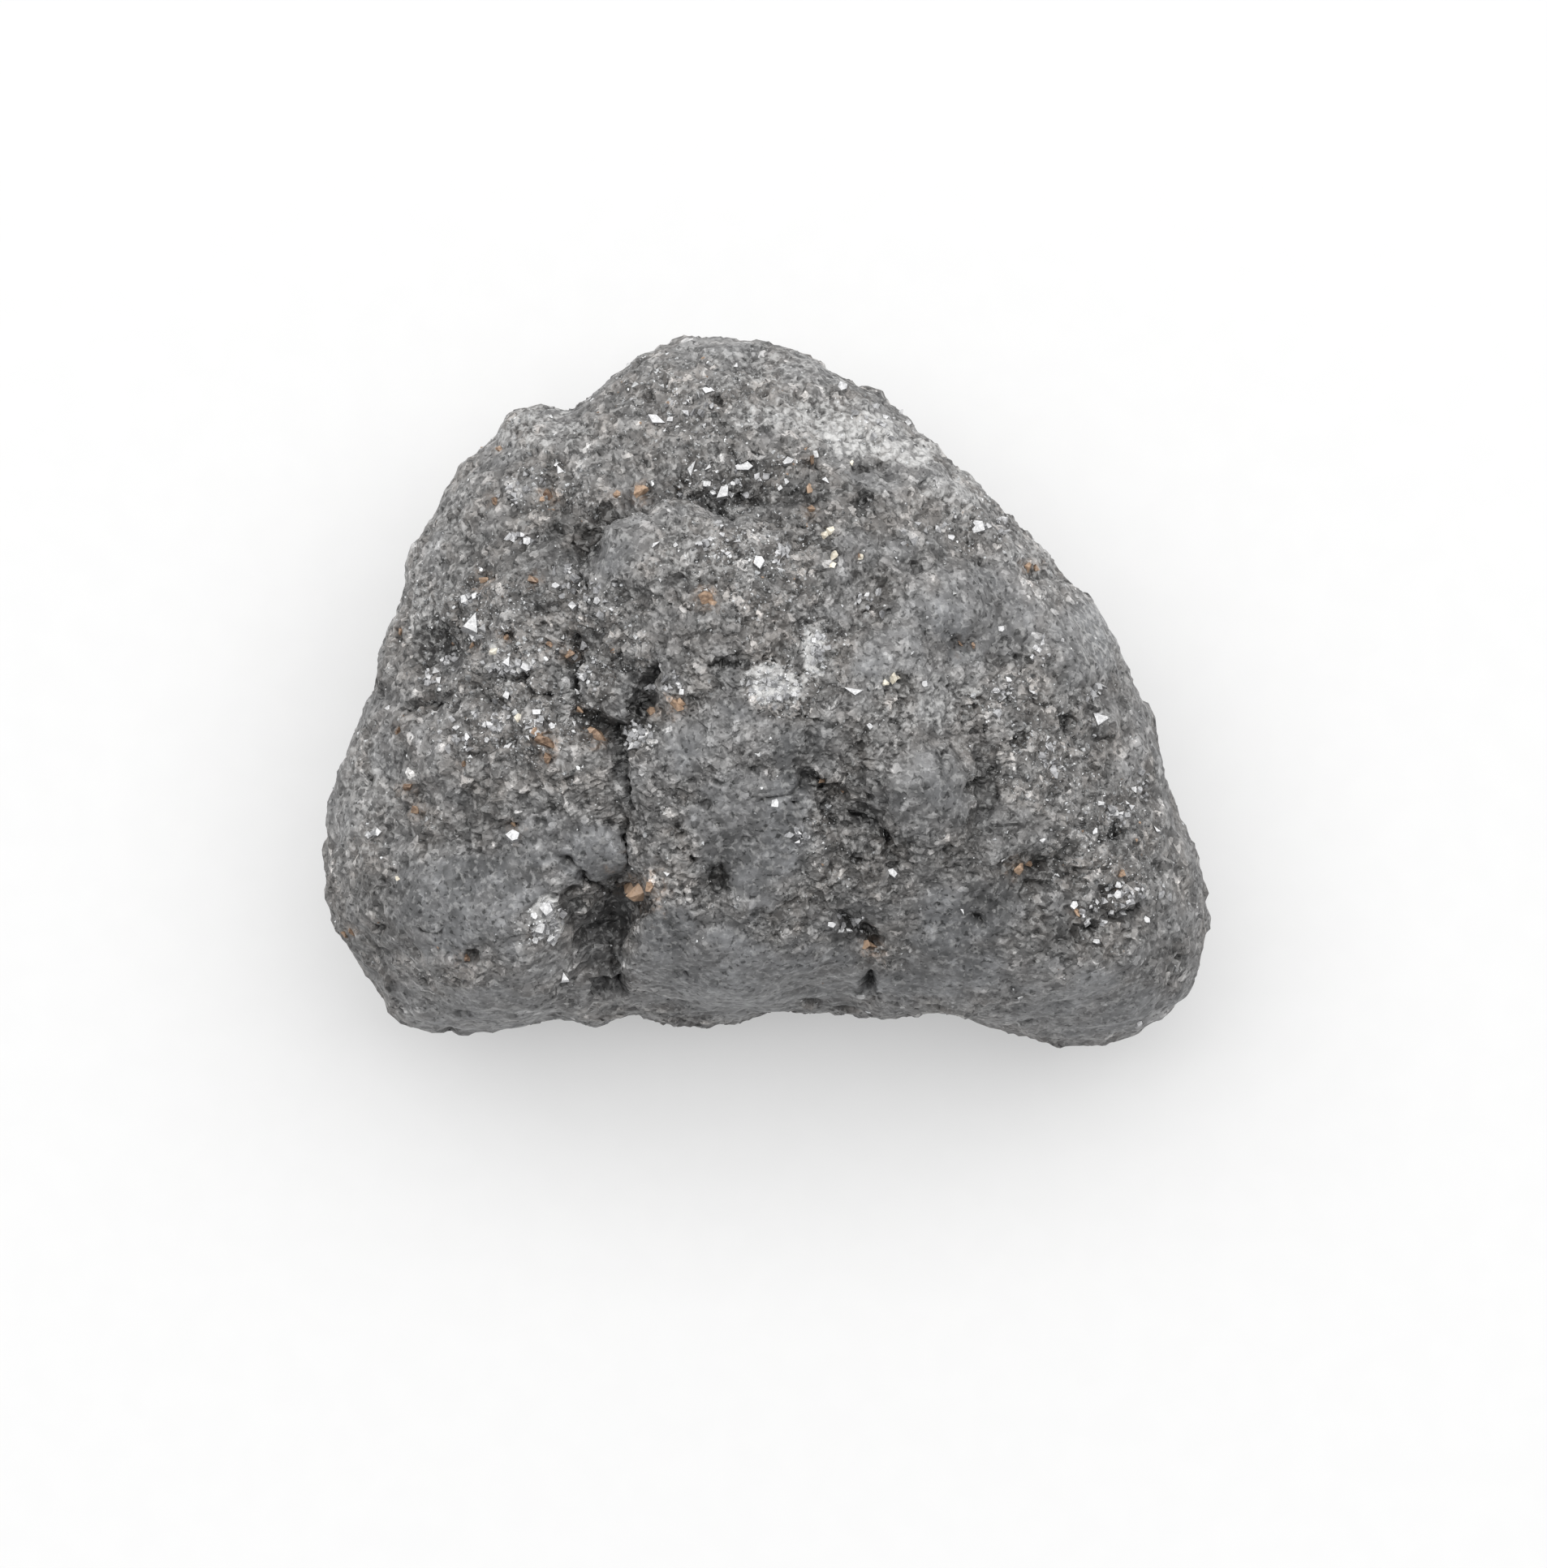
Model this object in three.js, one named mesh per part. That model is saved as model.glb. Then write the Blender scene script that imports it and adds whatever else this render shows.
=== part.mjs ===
// A rough diamond of the carbonado habit: one lumpy, granular stone, about as big as a hazelnut.
// It grew as one mass, so it is one closed solid. It lies on a small flat worn on its underside.
// Millimetres, +Z up. The origin is the middle of the stone's box, on the surface it lies on.

import * as THREE from "three";
import { SimplexNoise } from "three/addons/math/SimplexNoise.js";
import { mergeVertices } from "three/addons/utils/BufferGeometryUtils.js";

// Driving dimensions.
const STONE_HEIGHT = 8.0; // from the worn flat to the crown
const GIRTH_HEIGHT = 3.3; // height of the widest line round the stone
const HEART = new THREE.Vector2(-0.2, -0.7); // the point of the plan that every outward direction starts from
const WORN_DEPTH = 0.14; // how much of the rounded underside is worn away to the flat
const CROWN_SQUARENESS = 1.8; // exponent of the upper profile: 2 is an ellipse, more is boxier
const BELLY_SQUARENESS = 2.05; // the same for the underside
const MESH_DETAIL = 21; // each edge of the starting icosahedron is cut into this many parts and one more
const CROWN_CROWDING = 0.3; // how far the facets are drawn up from the underside to the crown
const CURVE_SAMPLES = 1440; // points taken along the outline curve to find its radii
const HEADINGS = 720; // evenly spaced headings at which the outline's radius is kept
const OUTLINE_BLUR = 36; // headings to each side that an average radius takes in, away from the widest line
const GIRTH_FADE = 0.35; // upward share of a direction at which lumps and lobes reach their full height
const MERGE_DISTANCE = 1e-5; // corners of the starting ball this near each other are one corner

// The plan outline, counter-clockwise from the right, in X and Y.
const OUTLINE = [
  [5.71, 0.4], [5.47, 0.86], [5.25, 1.31], [4.95, 1.7], [4.26, 2.39], [3.62, 3.04], [2.95, 3.64],
  [2.63, 4.0], [1.86, 4.62], [0.98, 5.13], [0.48, 5.4], [-0.11, 5.49], [-0.57, 5.57], [-1.13, 5.62],
  [-1.67, 5.48], [-2.38, 5.03], [-2.92, 4.57], [-3.51, 4.49], [-3.77, 4.53], [-4.13, 4.27],
  [-4.25, 4.02], [-4.83, 3.53], [-5.11, 3.0], [-5.64, 2.26], [-5.76, 1.31], [-6.07, 0.75],
  [-6.2, 0.18], [-6.4, -0.26], [-6.45, -0.66], [-6.78, -1.37], [-6.95, -2.47], [-7.0, -2.76],
  [-6.86, -3.5], [-6.39, -4.25], [-6.11, -4.86], [-5.93, -5.12], [-5.5, -5.4], [-4.96, -5.44],
  [-4.32, -5.31], [-3.75, -5.23], [-3.0, -5.14], [-2.55, -5.27], [-2.21, -4.92], [-1.79, -5.17],
  [-0.97, -5.29], [-0.27, -5.12], [0.2, -4.95], [0.83, -5.07], [1.57, -4.99], [2.19, -4.88],
  [2.93, -4.88], [3.2, -5.09], [3.72, -5.35], [4.92, -5.65], [5.71, -5.5], [6.27, -5.13],
  [6.8, -4.49], [6.99, -3.78], [6.99, -3.18], [6.71, -2.39], [6.44, -1.68], [6.2, -0.8],
  [6.13, -0.35], [5.92, -0.17],
];

// Broad lobes and hollows of the crown: middle, spread along and across in plan, turn, and rise.
const SWELLS = {
  crownRidge: { at: [0.2, 1.3], spread: [4.6, 2.3], turn: 0, rise: 0.7 },
  centralLobe: { at: [-1.0, 1.5], spread: [1.7, 1.4], turn: -15, rise: 0.4 },
  northLobe: { at: [-0.9, 4.5], spread: [1.3, 0.8], turn: 0, rise: 0.2 },
  northEastSlope: { at: [2.2, 3.6], spread: [1.9, 0.9], turn: -45, rise: 0.3 },
  westShoulder: { at: [-4.6, 2.6], spread: [0.9, 1.5], turn: -30, rise: 0.2 },
  westBrow: { at: [-4.3, -0.9], spread: [1.5, 0.9], turn: 0, rise: 0.22 },
  southWestLobe: { at: [-4.9, -3.9], spread: [1.5, 1.3], turn: 0, rise: 0.5 },
  southLobe: { at: [-0.3, -4.1], spread: [2.0, 1.2], turn: 0, rise: 0.4 },
  middleSlope: { at: [-0.6, -1.5], spread: [1.3, 1.2], turn: 0, rise: 0.15 },
  eastNodule: { at: [2.5, -1.4], spread: [0.8, 0.8], turn: 0, rise: 0.36 },
  eastBrow: { at: [4.9, -0.2], spread: [0.9, 1.3], turn: 20, rise: 0.22 },
  southEastLobe: { at: [5.3, -4.2], spread: [1.5, 1.2], turn: 25, rise: 0.55 },
  saddleHollow: { at: [1.2, -1.6], spread: [0.5, 0.8], turn: 30, rise: -0.36 },
  eastValley: { at: [3.3, -1.8], spread: [0.3, 0.75], turn: -10, rise: -0.3 },
  eastHollow: { at: [4.3, -3.0], spread: [0.7, 0.45], turn: 20, rise: -0.25 },
  darkDell: { at: [0.05, 3.1], spread: [0.8, 0.34], turn: 0, rise: -0.36 },
  westHollow: { at: [-5.0, 0.8], spread: [0.5, 0.3], turn: 0, rise: -0.3 },
  sunkNook: { at: [-1.9, 0.15], spread: [0.32, 0.5], turn: 15, rise: -0.4 },
  greatPit: { at: [-2.72, -3.75], spread: [0.45, 0.7], turn: 0, rise: -1.15 },
  smallPit: { at: [-0.74, -2.88], spread: [0.3, 0.35], turn: 0, rise: -0.4 },
  eastPit: { at: [1.4, -3.65], spread: [0.34, 0.4], turn: 45, rise: -0.35 },
};

// Clefts of the crown: each follows a line in plan, with its half width and its depth.
const CLEFTS = {
  archedCrevice: {
    line: [[-3.14, 1.87], [-2.86, 2.42], [-2.59, 2.79], [-2.05, 3.1], [-1.4, 3.28], [-0.29, 2.93]],
    halfWidth: 0.34,
    depth: 0.5,
  },
  longCleft: {
    line: [[-2.93, 0.77], [-2.96, -0.04], [-2.75, -0.43], [-2.41, -0.63], [-2.24, -1.41], [-2.2, -2.9]],
    halfWidth: 0.34,
    depth: 0.5,
  },
  pitSlot: {
    line: [[-2.28, -3.2], [-2.42, -4.04], [-2.46, -4.33], [-2.17, -4.95]],
    halfWidth: 0.32,
    depth: 0.55,
  },
  southEastCrack: {
    line: [[4.6, -3.91], [5.0, -3.74], [5.28, -3.59], [5.8, -3.35]],
    halfWidth: 0.3,
    depth: 0.2,
  },
};

// Random lumps all over: size of a lump and how far it stands out. The seed keeps them the same each time.
const LUMPS = [
  { wavelength: 3.4, height: 0.2 },
  { wavelength: 1.6, height: 0.1 },
  { wavelength: 0.9, height: 0.05 },
];
const LUMP_SEED = 7;
const SEED_FACTOR = 16807; // the usual factor and modulus of a small repeatable number source
const SEED_MODULUS = 2147483647;

// The widest line isn't level: it rises and falls round the stone in these waves.
const GIRTH_WAVES = [
  { perTurn: 1, height: 0.95, phase: 95 },
  { perTurn: 2, height: 0.3, phase: 20 },
  { perTurn: 3, height: 0.2, phase: 75 },
];

const STONE_MATERIAL = { color: 0x6f6e6d, roughness: 0.42, metalness: 0.0 };

// A repeatable source of numbers from 0 to 1, in the form that SimplexNoise takes.
function seededSource(seed) {
  let state = seed;
  return {
    random() {
      state = (state * SEED_FACTOR) % SEED_MODULUS;
      return state / SEED_MODULUS;
    },
  };
}

// The outline's radius about the heart of the stone, at evenly spaced headings from 0 to a full turn.
function outlineRadii() {
  const corners = OUTLINE.map(([x, y]) => new THREE.Vector3(x - HEART.x, y - HEART.y, 0));
  const curve = new THREE.CatmullRomCurve3(corners, true, "centripetal");
  const radii = new Array(HEADINGS).fill(0);
  for (const point of curve.getPoints(CURVE_SAMPLES)) {
    const slot = Math.round(turnsOf(Math.atan2(point.y, point.x)) * HEADINGS) % HEADINGS;
    radii[slot] = Math.max(radii[slot], Math.hypot(point.x, point.y));
  }
  for (let i = 1; i < HEADINGS; i++) radii[i] ||= radii[i - 1];
  return radii;
}

// A heading in radians as a share of a full turn, from 0 to 1.
function turnsOf(heading) {
  return THREE.MathUtils.euclideanModulo(heading / (2 * Math.PI), 1);
}

// The radii with each one averaged over its neighbours.
function averagedRadii(radii) {
  return radii.map((_, i) => {
    let sum = 0;
    for (let k = -OUTLINE_BLUR; k <= OUTLINE_BLUR; k++) sum += radii.at((i + k) % HEADINGS);
    return sum / (2 * OUTLINE_BLUR + 1);
  });
}

// A radius at a heading, straight between the two nearest kept headings.
function radiusAt(radii, heading) {
  const place = turnsOf(heading) * HEADINGS;
  const before = Math.floor(place);
  return THREE.MathUtils.lerp(radii[before % HEADINGS], radii[(before + 1) % HEADINGS], place - before);
}

// Moves an even direction up from the underside, so that the crown gets more of the facets.
function crowdedUpward(direction) {
  const fromTop = Math.acos(THREE.MathUtils.clamp(direction.z, -1, 1));
  const crowded = fromTop - CROWN_CROWDING * Math.sin(fromTop);
  const heading = Math.atan2(direction.y, direction.x);
  return new THREE.Vector3(
    Math.sin(crowded) * Math.cos(heading),
    Math.sin(crowded) * Math.sin(heading),
    Math.cos(crowded),
  );
}

// How far from the heart a plain rounded stone reaches in a direction.
function plainReach(direction, radius) {
  const upper = direction.z > 0;
  const reachUp = upper ? STONE_HEIGHT - GIRTH_HEIGHT : GIRTH_HEIGHT + WORN_DEPTH;
  const power = upper ? CROWN_SQUARENESS : BELLY_SQUARENESS;
  const across = Math.hypot(direction.x, direction.y) / radius;
  const upward = Math.abs(direction.z) / reachUp;
  return 1 / (across ** power + upward ** power) ** (1 / power);
}

// The rise of one lobe or hollow at a point of the plan.
function swellRise(swell, x, y) {
  const turn = THREE.MathUtils.degToRad(swell.turn);
  const offset = new THREE.Vector2(x - swell.at[0], y - swell.at[1]);
  offset.rotateAround(new THREE.Vector2(0, 0), -turn);
  return swell.rise * Math.exp(-((offset.x / swell.spread[0]) ** 2) - (offset.y / swell.spread[1]) ** 2);
}

// How far a point of the plan lies from a line of points.
function distanceToLine(line, x, y) {
  const point = new THREE.Vector3(x, y, 0);
  const nearest = new THREE.Vector3();
  const piece = new THREE.Line3();
  let least = Infinity;
  for (let i = 1; i < line.length; i++) {
    piece.start.set(...line[i - 1], 0);
    piece.end.set(...line[i], 0);
    piece.closestPointToPoint(point, true, nearest);
    least = Math.min(least, nearest.distanceTo(point));
  }
  return least;
}

// All lobes, hollows and clefts of the crown together at a point of the plan.
function crownRise(x, y) {
  let rise = 0;
  for (const swell of Object.values(SWELLS)) rise += swellRise(swell, x, y);
  for (const cleft of Object.values(CLEFTS)) {
    rise -= cleft.depth * Math.exp(-((distanceToLine(cleft.line, x, y) / cleft.halfWidth) ** 2));
  }
  return rise;
}

// All lump sizes together, from the point where the plain stone's surface would be.
function lumpHeight(noise, point) {
  let height = 0;
  for (const { wavelength, height: most } of LUMPS) {
    const p = point.clone().divideScalar(wavelength);
    height += most * noise.noise3d(p.x, p.y, p.z);
  }
  return height;
}

// How far the widest line stands above its mean height at a heading.
function girthRise(heading) {
  let rise = 0;
  for (const { perTurn, height, phase } of GIRTH_WAVES) {
    rise += height * Math.cos(perTurn * heading - THREE.MathUtils.degToRad(phase));
  }
  return rise;
}

// The stone's surface point in a direction from its heart. Away from the widest line the outline's
// small corners fade into an average radius, so they don't run down the sides as flutes.
function surfacePoint(direction, sharpRadii, softRadii, noise) {
  const heading = Math.atan2(direction.y, direction.x);
  const steepness = Math.abs(direction.z);
  const awayFromGirth = THREE.MathUtils.smoothstep(steepness, 0, GIRTH_FADE);
  const radius = THREE.MathUtils.lerp(
    radiusAt(sharpRadii, heading),
    radiusAt(softRadii, heading),
    awayFromGirth,
  );
  const point = direction.clone().multiplyScalar(plainReach(direction, radius));
  point.addScaledVector(direction, awayFromGirth * lumpHeight(noise, point));
  point.x += HEART.x;
  point.y += HEART.y;
  point.z += GIRTH_HEIGHT + girthRise(heading) * (1 - steepness) ** 2;
  if (direction.z > 0) point.z += awayFromGirth * crownRise(point.x, point.y);
  point.z = Math.max(point.z, 0);
  return point;
}

// The whole stone as one closed mesh, brought to its full height and onto the middle of its box.
function stoneGeometry() {
  const sharpRadii = outlineRadii();
  const softRadii = averagedRadii(sharpRadii);
  const noise = new SimplexNoise(seededSource(LUMP_SEED));
  const ball = new THREE.IcosahedronGeometry(1, MESH_DETAIL);
  ball.deleteAttribute("normal");
  ball.deleteAttribute("uv");
  const geometry = mergeVertices(ball, MERGE_DISTANCE);
  const position = geometry.getAttribute("position");
  const direction = new THREE.Vector3();
  for (let i = 0; i < position.count; i++) {
    direction.fromBufferAttribute(position, i).normalize();
    const point = surfacePoint(crowdedUpward(direction), sharpRadii, softRadii, noise);
    position.setXYZ(i, point.x, point.y, point.z);
  }
  geometry.computeBoundingBox();
  const box = geometry.boundingBox;
  geometry.translate(-(box.min.x + box.max.x) / 2, -(box.min.y + box.max.y) / 2, 0);
  geometry.scale(1, 1, STONE_HEIGHT / box.max.z);
  geometry.computeVertexNormals();
  return geometry;
}

const stone = new THREE.Mesh(stoneGeometry(), new THREE.MeshStandardMaterial(STONE_MATERIAL));
stone.name = "rough_diamond";

const group = new THREE.Group();
group.add(stone);

export default group;
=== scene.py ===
"""A rough diamond of the carbonado habit: one granular stone with crystal grains grown into it.

The stone's mass is one closed skin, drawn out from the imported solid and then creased, pitted and
grained. Crystals, rust grains and cream grains are set into that skin. Lengths are in millimetres
until a mesh, light or camera is made, which turns them into metres.
"""
import logging
import math
from dataclasses import dataclass
from enum import Enum

import bmesh
import bpy
import numpy as np
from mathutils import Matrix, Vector
from mathutils.bvhtree import BVHTree


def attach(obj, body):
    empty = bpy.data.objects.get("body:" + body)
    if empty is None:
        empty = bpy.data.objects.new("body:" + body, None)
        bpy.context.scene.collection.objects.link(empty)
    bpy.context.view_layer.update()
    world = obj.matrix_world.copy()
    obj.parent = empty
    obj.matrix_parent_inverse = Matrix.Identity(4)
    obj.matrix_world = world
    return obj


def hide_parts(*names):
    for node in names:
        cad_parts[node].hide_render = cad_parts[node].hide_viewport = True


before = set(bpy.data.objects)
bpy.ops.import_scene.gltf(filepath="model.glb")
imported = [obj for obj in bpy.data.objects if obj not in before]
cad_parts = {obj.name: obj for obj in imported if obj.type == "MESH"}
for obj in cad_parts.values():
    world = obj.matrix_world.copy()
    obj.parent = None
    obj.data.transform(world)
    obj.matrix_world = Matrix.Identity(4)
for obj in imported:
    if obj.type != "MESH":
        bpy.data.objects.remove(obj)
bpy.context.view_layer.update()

log = logging.getLogger("rough_diamond")

METRES = 0.001
BAKE_MAP = "OFBake"
BODY = "root"
STONE_NODE = "rough_diamond"

# Where the rays to the skin start, and the heights over which the features in plan fade in.
HEART = np.array([-0.2, -0.7, 3.3])
SHOULDER = (2.0, 3.0)

# The share of up or down in a face's normal at which it counts as upright, and as level.
LEVEL_SPAN = (0.1, 0.6)

# The most that a curve of steps can give, and a length too short to divide by.
TALLEST_STEP = 4.0
TINY = 1e-9

Plan = tuple[float, float]
Colour = tuple[float, float, float]
Triple = tuple[float, float, float]
Layer = tuple[float, float, int]

# What brings a swell to about -1 to 1, and the steps in a unit that places are rounded to.
SWELL_GAIN = 1.6
MERGE_STEPS = 1e6
JITTER_STEPS = 1e4

# How far noise frays an oval's edge, and where the edge starts and ends, as shares of its radii.
PATCH_FRAY = 0.3
PATCH_EDGE = (0.65, 1.2)
MOUND_EDGE = (0.45, 1.1)
PIT_FRAY = 0.25
PIT_WALL = (0.35, 1.1)

# The shares of its length over which a cleft opens and closes, and how uneven it is between.
CLEFT_START = (-0.08, 0.2)
CLEFT_END = (0.8, 1.08)
CLEFT_EVENNESS = 0.9
CLEFT_BREAKS = 1.1
CLEFT_LIMITS = (0.25, 1.3)
CLEFT_FRAY = 0.9
CLEFT_WALL = 0.8
CRACK_FADE = 0.05

# How uneven a pocket's floor is, how far outside its rim it starts, and how wide its painted shade's edge
# is, in millimetres.
POCKET_FRAY = 0.35
POCKET_LIP = 0.05
PAINTED_SHADE_EDGE = 0.08

# A grain's map: each half's size and corner, and where the second half starts.
HALF_MAP = (0.46, 0.92)
HALF_MARGIN = (0.02, 0.04)
SECOND_HALF = (0.5, 0.0)

# How unevenly a broken grain is chipped and lengthened, and how widely a cluster scatters.
CHIPPING = (0.75, 1.0)
LENGTHENING = (0.7, 1.15)
CLUSTER_SPREAD = 0.62

# Each layer's height and pitch in millimetres, and its step from the seed.
BROAD_FRAY: tuple[Layer, ...] = ((1.0, 0.45, 0), (0.6, 0.20, 1))
FINE_FRAY: tuple[Layer, ...] = ((0.9, 0.10, 9),)
WANDER: tuple[Layer, ...] = ((0.055, 0.30, 11), (0.030, 0.13, 13))
RIPPLES: tuple[Layer, ...] = ((0.050, 1.10, 4), (0.040, 0.55, 5), (0.026, 0.27, 6))
WAVER: tuple[Layer, ...] = ((0.045, 0.20, 15),)


class Slot(Enum):
    """The material slots, one held by each of the stone's pieces."""

    STONE = "stone"
    CRYSTAL = "crystal"
    RUST = "rust_grain"
    CREAM = "cream_grain"


def eased(values: np.ndarray, low: float, high: float) -> np.ndarray:
    """Rises smoothly from 0 at low to 1 at high.

    Args:
        values: What is measured.
        low: Where the rise starts.
        high: Where it ends.

    Returns:
        Shares from 0 to 1.
    """
    share = np.clip((values - low) / (high - low), 0.0, 1.0)
    return share * share * (3.0 - 2.0 * share)


def unit(vectors: np.ndarray) -> np.ndarray:
    """Scales each row to length 1."""
    return vectors / np.maximum(np.linalg.norm(vectors, axis=-1, keepdims=True), TINY)


def scrambled(address: np.ndarray, seed: int, lanes: int) -> np.ndarray:
    """Draws repeatable numbers for whole-number addresses in space.

    Args:
        address: Rows of three whole numbers.
        seed: Chooses another set of draws.
        lanes: How many numbers each address gets.

    Returns:
        Rows of numbers from 0 to 1.
    """
    # Large odd multipliers part neighbouring addresses, and the shifts mix each word's bits.
    x, y, z = address.astype(np.int64).view(np.uint64).T
    with np.errstate(over="ignore"):
        key = x * np.uint64(0x9E3779B185EBCA87) ^ y * np.uint64(0xC2B2AE3D27D4EB4F)
        key ^= z * np.uint64(0x165667B19E3779F9) ^ np.uint64(seed * 0x85EBCA6B + 1)
        drawn = []
        for lane in range(lanes):
            word = key + np.uint64(lane + 1) * np.uint64(0x9E3779B97F4A7C15)
            word = (word ^ (word >> np.uint64(30))) * np.uint64(0xBF58476D1CE4E5B9)
            word = (word ^ (word >> np.uint64(27))) * np.uint64(0x94D049BB133111EB)
            drawn.append((word ^ (word >> np.uint64(31))) / 2.0**64)
    return np.stack(drawn, axis=-1)


@dataclass(frozen=True)
class Swell:
    """Smooth random hills and hollows, the same each time for the same seed."""

    pitch: float
    seed: int
    stretch: Triple = (1.0, 1.0, 1.0)

    def at(self, places: np.ndarray) -> np.ndarray:
        """Gives the height, about -1 to 1, at each place.

        Args:
            places: Rows of points in millimetres.

        Returns:
            One height for each row.
        """
        scaled = places / (self.pitch * np.array(self.stretch))
        corner = np.floor(scaled)
        inside = scaled - corner
        fade = inside * inside * (3.0 - 2.0 * inside)
        height = np.zeros(len(places))
        for step in np.ndindex(2, 2, 2):
            slope = scrambled(corner + step, self.seed, 3) * 2.0 - 1.0
            rise = (slope * (inside - step)).sum(axis=1)
            height += rise * np.where(step, fade, 1.0 - fade).prod(axis=1)
        return height * SWELL_GAIN


def layered(layers: tuple[Layer, ...], seed: int, places: np.ndarray) -> np.ndarray:
    """Adds up random hills and hollows of several sizes.

    Args:
        layers: Each one's height, pitch in millimetres, and step from the seed.
        seed: Chooses the hills.
        places: Rows of points in millimetres.

    Returns:
        One height for each place.
    """
    return sum(height * Swell(pitch, seed + step).at(places) for height, pitch, step in layers)


@dataclass(frozen=True)
class Grains:
    """Space packed with irregular grains, each with draws of its own."""

    pitch: float
    seed: int

    def nearest(self, places: np.ndarray) -> tuple[np.ndarray, np.ndarray]:
        """Finds the grain that holds each place.

        Args:
            places: Rows of points in millimetres.

        Returns:
            The offset of each place from its grain's middle, in millimetres, and four draws
            from 0 to 1 that all places in the grain share.
        """
        scaled = places / self.pitch
        home = np.floor(scaled)
        closest = np.full(len(places), np.inf)
        offset = np.zeros_like(places)
        owner = np.zeros_like(places)
        for step in np.ndindex(3, 3, 3):
            cell = home + (np.array(step) - 1)
            away = scaled - (cell + scrambled(cell, self.seed, 3))
            gap = (away * away).sum(axis=1)
            won = gap < closest
            closest = np.where(won, gap, closest)
            offset = np.where(won[:, None], away, offset)
            owner = np.where(won[:, None], cell, owner)
        return offset * self.pitch, scrambled(owner, self.seed + 1, 4)


@dataclass(frozen=True)
class Eye:
    """The point above the stone that it is drawn from, and the level that its plan is drawn on.

    Every place in plan below is where a feature shows on the girth level from this point.
    """

    aim: Plan = (0.1275, -1.41)
    girth: float = 3.3
    reach: float = 205.25

    @property
    def place(self) -> np.ndarray:
        """The eye's own place in millimetres."""
        return np.array([*self.aim, self.girth + self.reach])

    def seen(self, places: np.ndarray) -> np.ndarray:
        """Gives where each place shows on the girth level.

        Args:
            places: Rows of X, Y and Z in millimetres.

        Returns:
            Rows of X and Y in millimetres.
        """
        nearer = self.reach / (self.reach + self.girth - places[:, 2:])
        return self.aim + (places[:, :2] - self.aim) * nearer


@dataclass(frozen=True)
class Patch:
    """An oval area of the stone's upper side, drawn in plan, with a ragged edge."""

    centre: Plan
    radii: Plan
    strength: float = 1.0

    def cover(self, plan: np.ndarray, ragged: np.ndarray) -> np.ndarray:
        """Gives how fully the patch covers each place.

        Args:
            plan: Rows of X and Y in millimetres.
            ragged: A random height for each place, which frays the edge.

        Returns:
            Shares from 0 to the patch's strength.
        """
        across = (plan - self.centre) / self.radii
        reach = np.linalg.norm(across, axis=1) + PATCH_FRAY * ragged
        return self.strength * (1.0 - eased(reach, *PATCH_EDGE))


@dataclass(frozen=True)
class Mound:
    """A broad rise or hollow of the upper side, oval in plan."""

    centre: Plan
    radii: Plan
    rise: float

    def lift(self, plan: np.ndarray) -> np.ndarray:
        """Gives how far the surface is lifted at each place in plan."""
        across = np.linalg.norm((plan - self.centre) / self.radii, axis=1)
        return self.rise * (1.0 - eased(across, *MOUND_EDGE))


def covered(patches: tuple[Patch, ...], plan: np.ndarray, ragged: np.ndarray) -> np.ndarray:
    """Gives the strongest cover that any of the patches has at each place in plan."""
    return np.max([patch.cover(plan, ragged) for patch in patches], axis=0)


@dataclass(frozen=True)
class Cleft:
    """A crack, crevice or slot, drawn in plan along a route and cut down into the stone."""

    route: tuple[Plan, ...]
    width: float
    depth: float

    def across(self, plan: np.ndarray) -> tuple[np.ndarray, np.ndarray, np.ndarray]:
        """Measures how far places are from the route.

        Args:
            plan: Rows of X and Y in millimetres.

        Returns:
            The distance to the route, the route's nearest point and the share of the route's
            length at that point.
        """
        points = np.array(self.route)
        legs = np.linalg.norm(np.diff(points, axis=0), axis=1)
        start = 0.0
        best = np.full(len(plan), np.inf)
        spot = np.zeros_like(plan)
        share = np.zeros(len(plan))
        for first, last, leg in zip(points[:-1], points[1:], legs):
            along = np.clip((plan - first) @ (last - first) / leg**2, 0.0, 1.0)
            foot = first + along[:, None] * (last - first)
            gap = np.linalg.norm(plan - foot, axis=1)
            won = gap < best
            best = np.where(won, gap, best)
            spot = np.where(won[:, None], foot, spot)
            share = np.where(won, (start + along * leg) / legs.sum(), share)
            start += leg
        return best, spot, share


@dataclass(frozen=True)
class Pit:
    """An oval hole with steep sides, drawn in plan."""

    centre: Plan
    radii: Plan
    depth: float
    turn: float = 0.0

    def sunk(self, plan: np.ndarray, ragged: np.ndarray) -> np.ndarray:
        """Gives how deep the hole is at each place.

        Args:
            plan: Rows of X and Y in millimetres.
            ragged: A random height for each place, which frays the rim.

        Returns:
            Depths in millimetres.
        """
        turn = math.radians(self.turn)
        axes = np.array([[math.cos(turn), -math.sin(turn)], [math.sin(turn), math.cos(turn)]])
        across = (plan - self.centre) @ axes / self.radii
        reach = np.linalg.norm(across, axis=1) + PIT_FRAY * ragged
        return self.depth * (1.0 - eased(reach, *PIT_WALL))


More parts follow.
